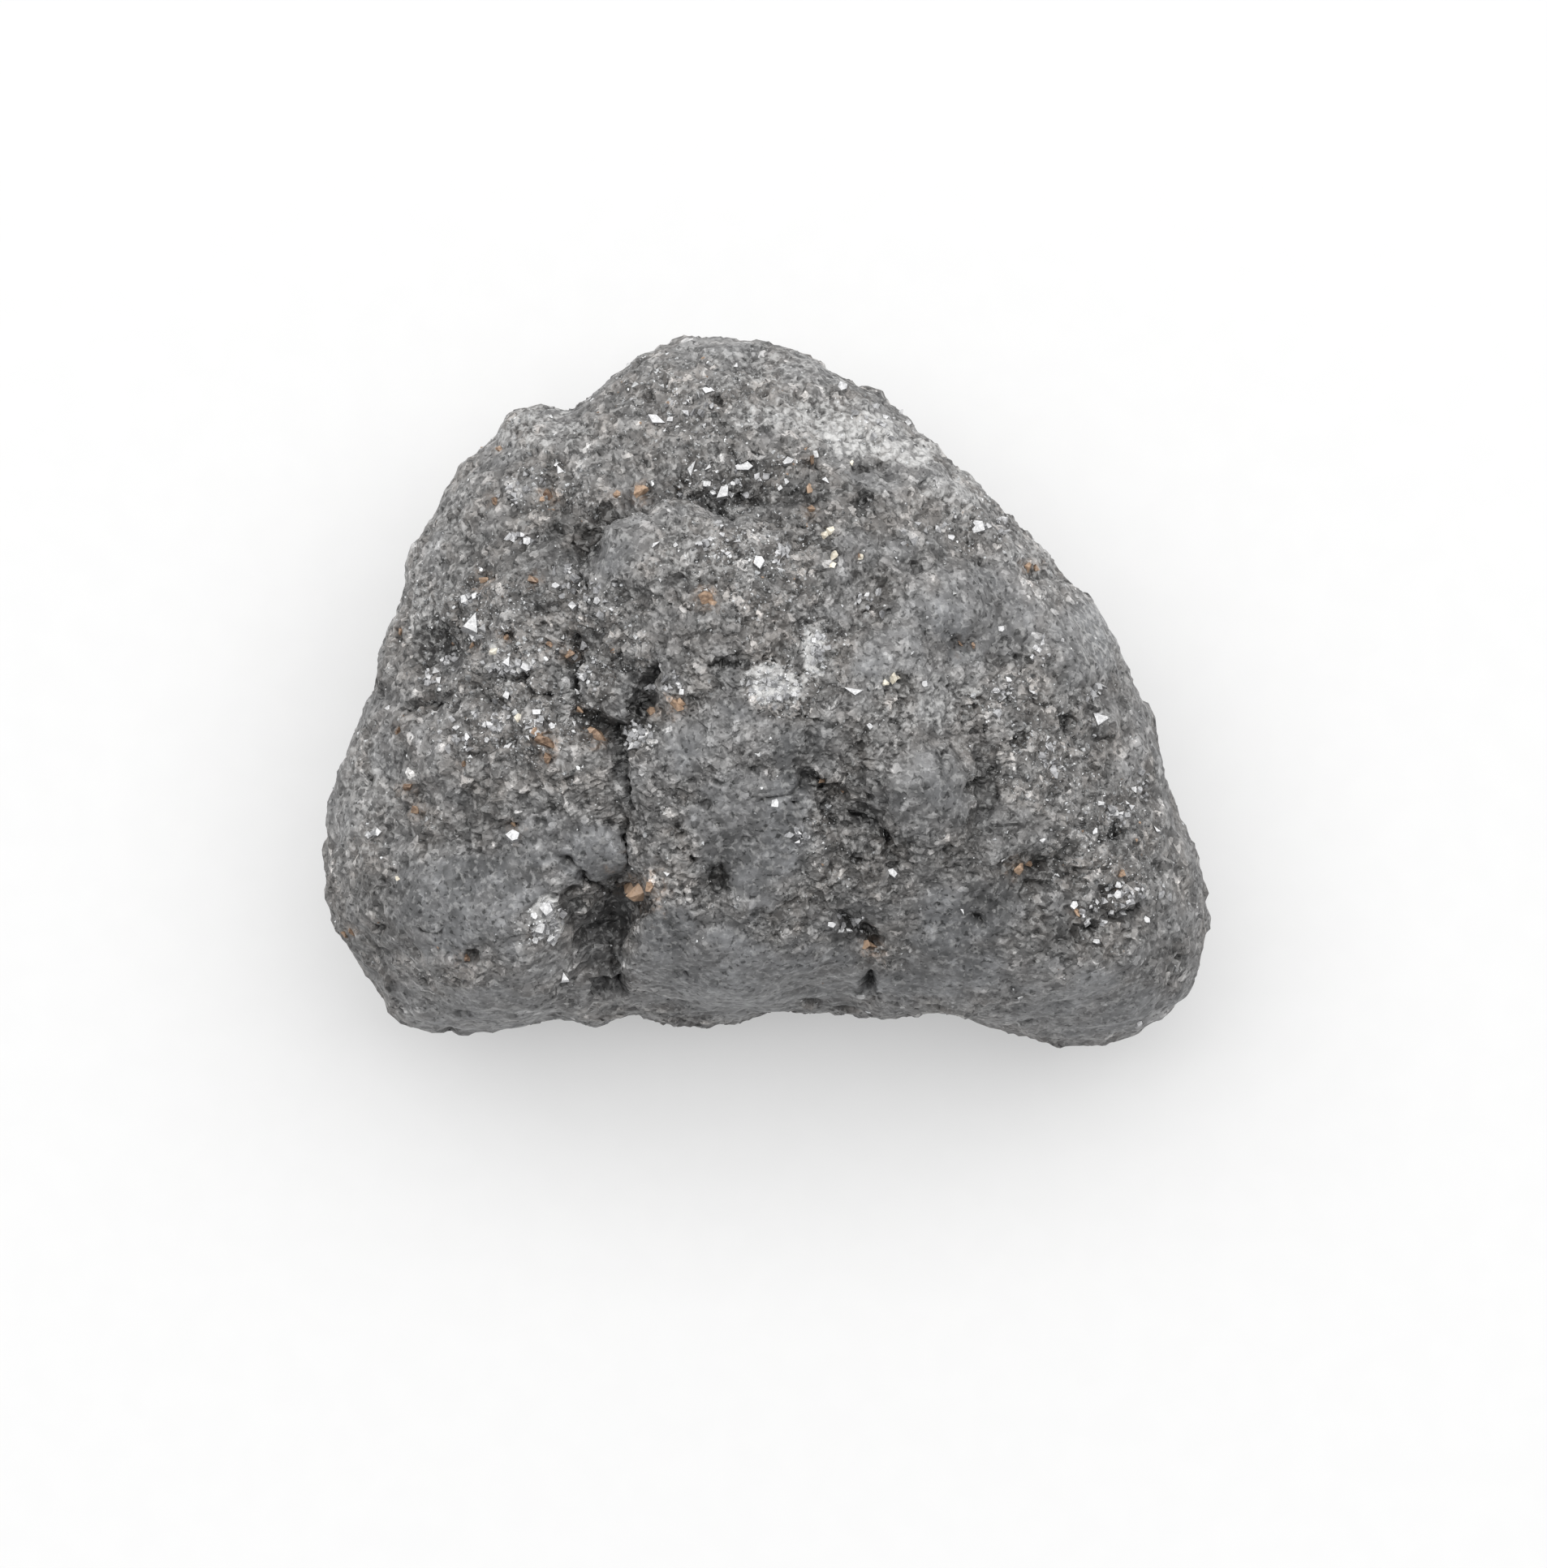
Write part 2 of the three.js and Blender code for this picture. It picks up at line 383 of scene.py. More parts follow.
@dataclass(frozen=True)
class Pocket:
    """A hollow with a cornered rim, drawn in plan, with painted shade inside it.

    A negative depth makes a block that stands up, and a negative last number paints it lighter, taking
    painted shade off it.
    """

    rim: tuple[Plan, ...]
    depth: float
    bank: float = 0.14
    glass_and_painted_shade: float = 0.6

    def inside(self, plan: np.ndarray) -> np.ndarray:
        """Measures how far inside the rim each place is.

        Args:
            plan: Rows of X and Y in millimetres.

        Returns:
            Distances to the rim, which are negative outside it.
        """
        corners = np.array(self.rim)
        gap = np.full(len(plan), np.inf)
        within = np.zeros(len(plan), bool)
        for first, last in zip(corners, np.roll(corners, -1, axis=0)):
            side = last - first
            along = np.clip((plan - first) @ side / (side @ side), 0.0, 1.0)
            gap = np.minimum(gap, np.linalg.norm(plan - first - along[:, None] * side, axis=1))
            spans = (first[1] > plan[:, 1]) != (last[1] > plan[:, 1])
            meets = first[0] + side[0] * (plan[:, 1] - first[1]) / (side[1] or TINY)
            within ^= spans & (plan[:, 0] < meets)
        return np.where(within, gap, -gap)

    def sunk(self, plan: np.ndarray) -> np.ndarray:
        """Gives how deep the hollow is at each place in plan."""
        return self.depth * eased(self.inside(plan), -POCKET_LIP, self.bank)

    def shade(self, plan: np.ndarray) -> np.ndarray:
        """Gives the painted shade of the hollow at each place in plan."""
        return self.glass_and_painted_shade * eased(self.inside(plan), -PAINTED_SHADE_EDGE, PAINTED_SHADE_EDGE)


@dataclass(frozen=True)
class RimPush:
    """A place on the stone's outline that is drawn in or pushed out, over a spread of bearings."""

    bearing: float
    spread: float
    push: float

    def reach(self, bearings: np.ndarray) -> np.ndarray:
        """Gives how far the outline moves at each bearing in degrees."""
        away = (bearings - self.bearing + 180.0) % 360.0 - 180.0
        return self.push * np.exp(-(away / self.spread) ** 2)


CLEFTS = {
    "arched_crevice": Cleft(((-2.95, 1.91), (-3.01, 2.12), (-2.87, 2.42), (-2.70, 2.67), (-2.46, 2.86),
        (-2.18, 2.99), (-1.86, 3.07), (-1.63, 3.12)), 0.28, 0.44),
    "arched_crack": Cleft(((-1.63, 3.12), (-1.34, 3.17), (-1.03, 3.16), (-0.88, 3.05), (-0.75, 2.93),
        (-0.55, 2.80), (-0.23, 2.81)), 0.14, 0.16),
    "arch_foot": Cleft(((-2.95, 1.91), (-2.84, 1.70), (-2.77, 1.47)), 0.16, 0.18),
    "upper_cleft": Cleft(((-2.95, 1.04), (-2.96, 0.78), (-2.98, 0.50), (-3.00, 0.17), (-2.95, -0.13)),
        0.16, 0.36),
    "cross_gully": Cleft(((-3.10, -0.26), (-2.82, -0.36), (-2.52, -0.52), (-2.23, -0.49), (-2.01, -0.26),
        (-1.82, 0.02)), 0.34, 0.26),
    "lower_cleft": Cleft(((-2.44, -0.52), (-2.37, -0.77), (-2.31, -1.00), (-2.23, -1.26)), 0.20, 0.28),
    "cleft_foot": Cleft(((-2.23, -1.26), (-2.19, -1.49), (-2.10, -1.70), (-2.04, -1.86)), 0.06, 0.18),
    "seam": Cleft(((-2.23, -1.93), (-2.22, -2.15), (-2.23, -2.35), (-2.19, -2.56), (-2.18, -2.79)),
        0.04, 0.18),
    "flap_edge": Cleft(((-3.28, -2.48), (-3.10, -2.61), (-2.95, -2.76), (-2.87, -2.91), (-2.72, -3.00),
        (-2.51, -3.04), (-2.33, -2.96), (-2.21, -2.86)), 0.08, 0.16),
    "pit_slot": Cleft(((-2.52, -3.55), (-2.44, -3.78), (-2.49, -4.00), (-2.44, -4.19), (-2.36, -4.38),
        (-2.31, -4.57), (-2.23, -4.78)), 0.16, 0.34),
    "plate_crack": Cleft(((-4.42, 0.33), (-4.22, 0.26), (-3.99, 0.25), (-3.76, 0.29), (-3.51, 0.30)),
        0.14, 0.18),
    "plate_branch": Cleft(((-3.86, 0.25), (-3.71, 0.12), (-3.51, 0.02), (-3.30, -0.01)), 0.09, 0.10),
    "west_crack": Cleft(((-5.74, -0.36), (-5.62, -0.21), (-5.47, -0.12), (-5.29, -0.08), (-5.04, -0.13)),
        0.16, 0.20),
    "west_arc": Cleft(((-4.65, -0.01), (-4.81, -0.13), (-4.93, -0.26)), 0.09, 0.10),
    "middle_crack": Cleft(((-0.17, -1.69), (0.09, -1.66), (0.37, -1.61), (0.60, -1.54)), 0.09, 0.10),
    "middle_fork": Cleft(((0.88, -1.28), (0.93, -1.54), (0.91, -1.84)), 0.10, 0.12),
    "centre_ledge": Cleft(((-0.98, 0.40), (-0.68, 0.48), (-0.36, 0.50), (-0.10, 0.43)), 0.12, 0.10),
    "south_pit_tail": Cleft(((1.66, -4.32), (1.63, -4.52), (1.59, -4.78)), 0.14, 0.24),
    "nodule_foot": Cleft(((2.36, -2.66), (2.15, -2.61), (1.95, -2.51), (1.90, -2.28), (1.82, -2.07)),
        0.14, 0.16),
    "nodule_under": Cleft(((1.82, -2.07), (1.62, -2.00), (1.39, -1.92), (1.24, -1.77)), 0.16, 0.14),
    "east_slot": Cleft(((3.88, -0.68), (3.91, -0.84), (3.89, -1.03)), 0.16, 0.18),
    "east_nick": Cleft(((3.51, -0.44), (3.53, -0.57), (3.56, -0.69)), 0.14, 0.14),
    "valley_slot": Cleft(((2.79, -0.82), (2.82, -0.98), (2.84, -1.10)), 0.16, 0.14),
    "east_gash": Cleft(((4.76, -0.01), (4.78, -0.36), (4.76, -0.68)), 0.16, 0.16),
    "ridge_crack": Cleft(((5.13, -3.19), (5.34, -3.14), (5.52, -3.04), (5.70, -2.94), (5.85, -2.86)),
        0.22, 0.24),
    "south_east_crack": Cleft(((4.93, -3.76), (5.13, -3.68), (5.34, -3.63), (5.57, -3.50), (5.83, -3.40),
        (5.98, -3.32)), 0.13, 0.20),
    "corner_nick": Cleft(((4.35, -3.32), (4.42, -3.53), (4.55, -3.70)), 0.11, 0.12),
    "corner_fork": Cleft(((3.25, -3.40), (3.33, -3.55), (3.46, -3.68)), 0.11, 0.13),
    "east_seam": Cleft(((5.52, -1.89), (5.57, -2.20), (5.55, -2.53)), 0.15, 0.16),
    "north_fold": Cleft(((-0.48, 4.20), (-0.23, 3.87), (0.15, 3.69)), 0.16, 0.08),
    "flank_seam": Cleft(((-1.16, -2.28), (-1.19, -2.48), (-1.12, -2.66)), 0.08, 0.10),
    "bottom_seam": Cleft(((-1.31, -4.32), (-1.21, -4.44), (-1.03, -4.49)), 0.09, 0.10),
    "west_oval": Cleft(((-5.55, -3.65), (-5.37, -3.73), (-5.14, -3.73), (-5.04, -3.63)), 0.08, 0.07),
    "north_east_slit": Cleft(((3.76, 2.08), (3.99, 1.93), (4.32, 1.86), (4.53, 1.83)), 0.16, 0.14),
    "east_hollow_line": Cleft(((2.92, 0.86), (3.10, 0.78), (3.33, 0.84)), 0.22, 0.16),
    "right_cleft": Cleft(((3.10, -1.59), (3.28, -1.46), (3.35, -1.26)), 0.24, 0.12),
}

PITS = (
    Pit((-0.14, 5.10), (0.14, 0.10), 0.22), Pit((-0.70, 4.62), (0.12, 0.09), 0.12),
    Pit((-2.55, -4.60), (0.22, 0.16), 0.22), Pit((-3.95, -2.06), (0.16, 0.09), 0.14),
    Pit((-3.55, -2.05), (0.14, 0.10), 0.14), Pit((-0.74, -1.38), (0.13, 0.06), 0.16, -8.0),
    Pit((-0.20, -1.18), (0.06, 0.08), 0.16), Pit((-0.90, -1.79), (0.07, 0.10), 0.12),
    Pit((-1.34, -2.25), (0.06, 0.09), 0.14), Pit((-1.17, -2.44), (0.06, 0.07), 0.12),
    Pit((4.30, -2.66), (0.14, 0.10), 0.12), Pit((-6.03, -3.68), (0.13, 0.10), 0.14),
    Pit((5.38, -4.12), (0.08, 0.08), 0.12), Pit((5.33, -0.68), (0.20, 0.12), 0.16),
    Pit((-4.60, -4.11), (0.11, 0.16), 0.18), Pit((-4.74, -5.01), (0.20, 0.08), 0.14),
    Pit((-4.97, -5.30), (0.10, 0.08), 0.12), Pit((3.43, 2.05), (0.10, 0.08), 0.10),
    Pit((1.52, 3.56), (0.16, 0.10), 0.14), Pit((2.60, 3.66), (0.10, 0.07), 0.14),
    Pit((2.02, 2.55), (0.10, 0.08), 0.12), Pit((2.36, 2.02), (0.08, 0.12), 0.12),
    Pit((-3.43, 0.80), (0.09, 0.08), 0.12), Pit((-4.06, 0.90), (0.09, 0.08), 0.12),
    Pit((0.45, -1.72), (0.10, 0.05), 0.12), Pit((1.05, -1.95), (0.07, 0.09), 0.14),
    Pit((1.20, -1.55), (0.10, 0.07), 0.14), Pit((1.30, -2.08), (0.06, 0.07), 0.12),
    Pit((1.44, -2.63), (0.09, 0.05), 0.12), Pit((1.62, -1.60), (0.08, 0.08), 0.14),
    Pit((2.07, -2.70), (0.07, 0.06), 0.12), Pit((2.40, -2.62), (0.09, 0.05), 0.12),
    Pit((0.62, -1.95), (0.06, 0.06), 0.12), Pit((-1.75, -1.35), (0.06, 0.05), 0.10),
    Pit((-0.30, -2.30), (0.06, 0.05), 0.10), Pit((0.30, -3.10), (0.08, 0.05), 0.12),
    Pit((2.70, -3.30), (0.07, 0.05), 0.12), Pit((3.55, -3.05), (0.06, 0.08), 0.12),
)

POCKETS = {
    "great_pit": Pocket(((-3.10, -3.04), (-2.95, -3.02), (-2.72, -3.05), (-2.52, -3.09), (-2.33, -3.02),
        (-2.18, -2.91), (-1.95, -3.17), (-1.75, -3.27), (-1.89, -3.45), (-2.13, -3.58), (-2.23, -3.81),
        (-2.28, -4.06), (-2.60, -4.02), (-3.00, -4.00), (-3.11, -3.68), (-3.23, -3.40), (-3.23, -3.17)),
        0.28, 0.18, 0.25),
    "pit_tail": Pocket(((-2.28, -4.00), (-2.23, -4.38), (-2.13, -4.65), (-2.26, -4.72), (-2.46, -4.52),
        (-2.64, -4.47), (-2.82, -4.55), (-3.00, -4.48), (-3.08, -4.20), (-3.02, -3.85), (-2.60, -3.95)),
        0.15, 0.20, 0.1),
    "pit_block": Pocket(((-3.02, -3.14), (-2.82, -3.04), (-2.56, -3.07), (-2.36, -3.17), (-2.44, -3.37),
        (-2.52, -3.58), (-2.74, -3.68), (-2.92, -3.58), (-3.05, -3.35)), -0.25, 0.10, -0.6),
    "nook_top": Pocket(((-1.86, 0.40), (-1.72, 0.50), (-1.62, 0.33), (-1.75, 0.12), (-1.86, 0.02),
        (-1.95, 0.17)), 0.34, 0.10, 0.9),
    "nook_low": Pocket(((-2.05, -0.18), (-1.87, -0.13), (-1.82, -0.36), (-1.95, -0.59), (-2.13, -0.64),
        (-2.21, -0.44)), 0.24, 0.12, 0.9),
    "crossing": Pocket(((-3.02, -0.06), (-2.87, -0.18), (-2.72, -0.31), (-2.49, -0.47), (-2.23, -0.57),
        (-2.14, -0.77), (-2.23, -1.10), (-2.40, -1.00), (-2.49, -0.77), (-2.69, -0.64), (-2.87, -0.47),
        (-3.00, -0.26)), 0.26, 0.14, 0.9),
    "south_pit": Pocket(((1.11, -3.37), (1.34, -3.42), (1.52, -3.58), (1.70, -3.70), (1.75, -3.91),
        (1.62, -4.04), (1.52, -3.91), (1.42, -3.76), (1.24, -3.70), (1.11, -3.55)), 0.24, 0.10, 0.9),
    "mid_pit": Pocket(((-0.85, -2.73), (-0.68, -2.66), (-0.56, -2.86), (-0.60, -3.09), (-0.73, -3.22),
        (-0.87, -3.07), (-0.96, -2.89)), 0.22, 0.14, 0.8),
    "left_hollow": Pocket(((-5.44, 0.91), (-5.07, 1.01), (-4.81, 0.84), (-4.76, 0.66), (-4.99, 0.50),
        (-5.27, 0.55), (-5.47, 0.71)), 0.16, 0.16, 0.8),
    "upper_left_hollow": Pocket(((-5.27, 2.21), (-5.04, 2.29), (-4.86, 2.16), (-4.81, 2.01),
        (-5.01, 1.91), (-5.21, 1.98)), 0.10, 0.14, 0.5),
    "brow_pocket": Pocket(((0.55, -1.23), (0.78, -1.20), (0.93, -1.33), (0.98, -1.46), (0.80, -1.43),
        (0.65, -1.54), (0.42, -1.66), (0.40, -1.56), (0.57, -1.43)), 0.18, 0.08, 0.9),
    "under_nodule": Pocket(((1.39, -1.77), (1.57, -1.69), (1.75, -1.89), (1.90, -2.10), (2.05, -2.33),
        (2.10, -2.53), (1.95, -2.45), (1.80, -2.22), (1.59, -2.02)), 0.18, 0.10, 0.8),
    "corner_pocket": Pocket(((4.50, -3.78), (4.70, -3.76), (4.83, -3.88), (4.73, -3.98), (4.55, -3.96)),
        0.18, 0.08, 0.8),
    "ridge_pocket": Pocket(((3.99, -2.66), (4.14, -2.58), (4.25, -2.68), (4.14, -2.81), (4.02, -2.79)),
        0.12, 0.10, 0.5),
    "dell": Pocket(((-0.93, 3.05), (-0.65, 3.21), (-0.32, 3.16), (0.03, 3.21), (0.41, 3.16), (0.73, 3.23),
        (0.88, 3.10), (0.66, 2.93), (0.24, 2.98), (-0.10, 2.88), (-0.48, 2.85), (-0.74, 2.93)),
        0.16, 0.18, 0.8),
    "bare_dell": Pocket(((1.39, 3.18), (1.57, 3.23), (1.72, 3.13), (1.64, 2.95), (1.47, 2.90)),
        0.16, 0.12, 0.7),
}

MOUNDS = {
    "crown_knoll": Mound((-1.67, 2.34), (1.12, 0.84), 0.20),
    "nodule": Mound((2.61, -1.61), (0.84, 0.94), 0.24),
    "east_knoll": Mound((5.01, 0.76), (0.66, 0.74), 0.10),
    "north_east_knoll": Mound((2.84, 1.45), (0.94, 0.74), 0.12),
    "middle_knoll": Mound((1.95, 0.58), (0.74, 0.69), 0.10),
    "north_knoll": Mound((-0.96, 4.86), (1.02, 0.64), 0.06),
    "west_knoll": Mound((-4.88, -1.00), (1.02, 0.71), 0.10),
    "west_brow": Mound((-4.12, 2.95), (0.84, 0.61), 0.08),
    "flap": Mound((-2.65, -2.53), (0.56, 0.43), 0.06),
    "south_west_knoll": Mound((-4.88, -3.55), (1.15, 0.89), 0.06),
    "south_knoll": Mound((-0.55, -4.32), (1.28, 0.77), 0.06),
    "ridge": Mound((5.83, -3.17), (0.77, 0.43), 0.08),
    "valley": Mound((3.48, -1.46), (0.26, 0.92), -0.15),
    "west_gully": Mound((-3.23, 3.21), (0.38, 0.82), -0.08),
    "brow_hollow": Mound((0.88, -1.26), (0.64, 0.46), -0.08),
    "corner_hollow": Mound((4.42, -2.79), (0.84, 0.51), -0.08),
    "south_hollow": Mound((2.64, -3.42), (1.02, 0.51), -0.05),
    "north_dell": Mound((0.22, 3.40), (1.40, 0.33), -0.10),
    "left_dell": Mound((-5.04, 0.78), (0.51, 0.43), -0.08),
    "mid_trough": Mound((1.11, -0.11), (0.51, 0.26), -0.05),
    "north_west_step": Mound((-3.10, 4.23), (0.33, 0.51), -0.06),
    "centre_trough": Mound((-3.86, -0.11), (0.77, 0.28), -0.06),
}

RIM_CENTRE = (-0.166, -0.363)

RIM_PUSHES = (
    RimPush(14.0, 4.0, -0.08), RimPush(24.0, 6.0, -0.11), RimPush(42.0, 10.0, -0.07),
    RimPush(52.0, 3.0, -0.06), RimPush(60.0, 4.0, -0.05), RimPush(76.0, 4.0, -0.06),
    RimPush(112.0, 3.0, -0.05), RimPush(119.0, 3.5, -0.10), RimPush(128.0, 3.0, 0.10),
    RimPush(155.0, 9.0, -0.07), RimPush(176.0, 4.0, -0.10), RimPush(196.0, 2.5, -0.03),
    RimPush(208.0, 4.0, 0.05), RimPush(229.0, 3.0, -0.04), RimPush(236.0, 2.5, -0.11),
    RimPush(244.0, 3.0, 0.07), RimPush(294.0, 5.0, 0.11), RimPush(314.0, 4.0, -0.11),
    RimPush(328.0, 8.0, 0.04), RimPush(350.0, 5.0, -0.09),
)

SATIN = (
    Patch((-4.75, -3.25), (1.25, 0.85)), Patch((-2.72, -2.47), (0.60, 0.55)),
    Patch((-3.60, -2.30), (0.80, 0.45), 0.8), Patch((-0.48, -4.42), (1.70, 0.70)),
    Patch((2.49, -4.51), (1.00, 0.30)), Patch((5.19, -4.95), (1.40, 0.55), 0.8),
    Patch((-0.17, -2.15), (1.00, 1.10), 0.9), Patch((-1.60, -3.90), (0.55, 0.80), 0.8),
    Patch((2.49, -1.51), (0.75, 0.65), 0.8), Patch((3.28, 1.29), (0.90, 0.70), 0.7),
    Patch((5.01, 0.76), (0.60, 0.70), 0.7), Patch((-2.33, 2.19), (0.60, 0.50), 0.4),
    Patch((3.28, -3.42), (0.90, 0.60), 0.8), Patch((3.00, -4.20), (0.80, 0.50), 0.8),
    Patch((-4.30, -5.00), (1.10, 0.40), 0.7), Patch((-0.60, -0.80), (1.10, 0.90), 0.6),
    Patch((1.00, -4.45), (0.80, 0.45), 0.7), Patch((1.90, 0.55), (0.60, 0.50), 0.6),
)

SPARKLING = (
    Patch((-4.37, 1.17), (1.20, 0.90)), Patch((-3.86, -0.36), (1.30, 0.80)),
    Patch((-1.19, 4.48), (1.30, 0.90), 0.7), Patch((-0.55, 3.33), (1.20, 0.50)),
    Patch((0.22, 0.08), (0.70, 0.50)), Patch((0.85, 0.72), (0.50, 0.50)),
    Patch((-0.17, 2.06), (1.00, 0.90), 0.8), Patch((-2.08, -0.68), (0.30, 0.30)),
    Patch((4.42, -1.00), (0.90, 0.90), 0.8), Patch((5.30, -2.40), (0.90, 1.00)),
    Patch((3.90, -0.10), (0.60, 0.40)), Patch((3.28, 2.57), (0.70, 0.50), 0.7),
    Patch((-3.20, 3.30), (0.90, 0.60), 0.6), Patch((-2.60, 0.90), (0.80, 1.00)),
    Patch((-3.67, -3.68), (0.35, 0.40)), Patch((0.70, -2.20), (0.40, 0.35), 0.8),
)

# Pale dust, and painted highlight on the crest and on the side towards the light.
PALE_DUST_AND_HIGHLIGHTS = (
    Patch((0.15, 0.10), (0.50, 0.30), 1.2), Patch((0.00, 0.28), (0.35, 0.25), 0.8),
    Patch((0.78, 0.66), (0.20, 0.40), 1.1), Patch((-3.42, -3.60), (0.24, 0.40), 1.3),
    Patch((-4.03, 0.45), (0.44, 0.10)), Patch((0.55, 4.38), (1.00, 0.30), 0.55),
    Patch((1.45, 4.10), (0.90, 0.36), 0.75), Patch((2.25, 3.80), (0.60, 0.24), 0.75),
    Patch((-4.30, 0.70), (0.13, 0.12), 0.8), Patch((2.90, 3.20), (0.50, 0.25), 0.4),
    Patch((-3.70, 4.20), (0.90, 0.50), 0.35), Patch((-0.90, 5.10), (1.30, 0.40), 0.1),
    Patch((-5.30, 1.90), (0.60, 1.20), 0.2), Patch((2.40, -0.10), (0.90, 0.50), 0.25),
    Patch((-0.90, 2.30), (1.00, 0.60), 0.2), Patch((0.40, 5.05), (0.90, 0.30), 0.3),
    Patch((3.15, 3.30), (0.50, 0.50), 0.3), Patch((4.20, 2.20), (0.50, 0.60), 0.25),
    Patch((5.20, 0.90), (0.45, 0.70), 0.25), Patch((-4.90, 2.90), (0.50, 0.60), 0.2),
    Patch((-6.30, -1.60), (0.50, 1.00), 0.2),
)

DARK_GLASS = (
    Patch((-0.10, 3.12), (1.20, 0.26)), Patch((1.35, 3.10), (0.45, 0.25), 0.7),
    Patch((-5.12, 0.80), (0.42, 0.36), 0.9), Patch((-2.00, 0.00), (0.30, 0.60), 0.8),
    Patch((-0.74, -2.92), (0.26, 0.36), 0.9), Patch((1.40, -3.62), (0.36, 0.25), 0.9),
    Patch((5.30, -0.68), (0.30, 0.22), 0.8), Patch((4.60, -3.20), (0.90, 0.50), 0.6),
    Patch((1.60, -2.00), (0.60, 0.60), 0.5), Patch((0.75, -1.35), (0.40, 0.25), 0.7),
    Patch((-2.50, -0.60), (0.50, 0.40), 0.8), Patch((-5.00, 2.05), (0.32, 0.20), 0.6),
)

# Painted shade over broad dark zones, in hollows and on the side away from the light.
PAINTED_SHADE = (
    Patch((1.75, -1.95), (1.20, 0.90), 0.8), Patch((0.90, -1.10), (0.80, 0.70), 0.9),
    Patch((4.30, -3.30), (1.60, 1.00), 0.9), Patch((3.20, -2.60), (0.90, 0.50), 0.4),
    Patch((6.20, -3.80), (0.80, 1.30), 0.5), Patch((-6.00, -3.50), (0.60, 1.20), 0.6),
    Patch((-4.25, -2.85), (0.95, 0.45), 0.8), Patch((-5.70, -2.40), (0.60, 0.60), 0.5),
    Patch((0.60, 3.00), (1.30, 0.40), 0.7), Patch((-3.25, 1.95), (0.60, 1.10), 0.8),
    Patch((-0.60, -1.60), (0.80, 1.00), 0.3), Patch((-2.40, -0.20), (0.80, 0.90), 0.6),
    Patch((-5.05, 0.80), (0.70, 0.50), 0.6), Patch((3.05, -4.05), (0.60, 0.40), 0.8),
    Patch((-0.75, 5.00), (0.70, 0.45), 0.45), Patch((-1.20, -0.95), (0.70, 0.50), 0.35),
    Patch((5.00, -3.95), (0.70, 0.50), 0.4), Patch((1.40, 0.50), (0.40, 0.40), 0.3),
    Patch((-3.10, 0.05), (0.50, 0.40), 0.3), Patch((-6.03, -0.62), (0.60, 0.80), 0.4),
    Patch((-3.86, 2.06), (0.80, 0.60), 0.3), Patch((-1.70, -3.40), (0.40, 0.60), 0.6),
)

Facet = tuple[float, float, float]

BRIGHT_FACETS: tuple[Facet, ...] = (
    (-1.72, 4.32, 0.23), (-1.06, 4.70, 0.13), (-0.92, 4.78, 0.13), (1.21, 4.86, 0.15),
    (-1.17, 3.59, 0.24), (-0.89, 3.53, 0.17), (-0.33, 3.59, 0.23), (-0.91, 3.30, 0.13),
    (-0.51, 3.33, 0.11), (-0.69, 3.19, 0.22), (-0.71, 3.05, 0.13), (0.36, 3.67, 0.15),
    (0.79, 3.78, 0.13), (0.96, 3.33, 0.13), (-0.70, 2.66, 0.10), (-0.10, 2.08, 0.19),
    (-1.72, 2.38, 0.14), (-1.40, 2.34, 0.10), (-4.59, 1.12, 0.31), (-4.59, 0.90, 0.14),
    (-4.74, 1.49, 0.14), (-4.56, 1.55, 0.11), (-3.75, 2.42, 0.13), (-3.23, 3.53, 0.14),
    (-3.30, 3.61, 0.10), (-4.09, -0.01, 0.15), (-4.69, -0.67, 0.11), (-4.86, -0.52, 0.10),
    (-3.70, -0.68, 0.13), (-2.97, -0.47, 0.15), (-2.08, -0.80, 0.17), (-2.04, -0.58, 0.11),
    (-1.95, -0.68, 0.10), (-4.05, 0.52, 0.15), (-3.75, 0.43, 0.14), (-3.65, 0.52, 0.10),
    (-3.97, -2.21, 0.20), (1.34, 0.04, 0.27), (5.28, 0.13, 0.17), (5.27, -0.38, 0.26),
    (4.45, -0.71, 0.13), (4.42, -0.84, 0.11), (4.18, 0.06, 0.11), (3.35, 2.62, 0.22),
    (5.78, -1.49, 0.14), (5.28, -1.70, 0.13), (5.50, -1.87, 0.11), (5.18, -2.15, 0.10),
    (0.15, -1.71, 0.14), (0.51, -2.17, 0.11), (0.59, -2.28, 0.10), (0.48, -2.31, 0.10),
    (1.98, -2.80, 0.14), (-3.15, -4.44, 0.14), (1.30, -3.69, 0.11), (1.05, -3.61, 0.11),
    (1.19, -3.70, 0.10), (5.20, -3.87, 0.11), (4.85, -3.30, 0.14), (5.62, -2.99, 0.11),
    (6.13, -2.12, 0.13), (5.99, -3.54, 0.11), (-6.07, -2.17, 0.14), (-5.93, -0.21, 0.11),
    (2.51, 0.17, 0.10), (4.35, -2.28, 0.11), (-1.57, -2.79, 0.11), (-0.83, 4.76, 0.11),
    (-0.46, 5.17, 0.09), (5.88, -5.16, 0.10), (3.70, 1.04, 0.10), (2.64, 4.86, 0.09),
    (1.64, -0.49, 0.10), (3.74, -2.61, 0.10), (3.11, -3.41, 0.10),
    (-3.45, -3.38, 0.20), (-3.34, -3.58, 0.15), (-3.52, -3.66, 0.18), (-3.36, -3.84, 0.16),
    (-3.60, -3.86, 0.11), (-3.62, -3.48, 0.10), (-3.24, -3.36, 0.10),
)

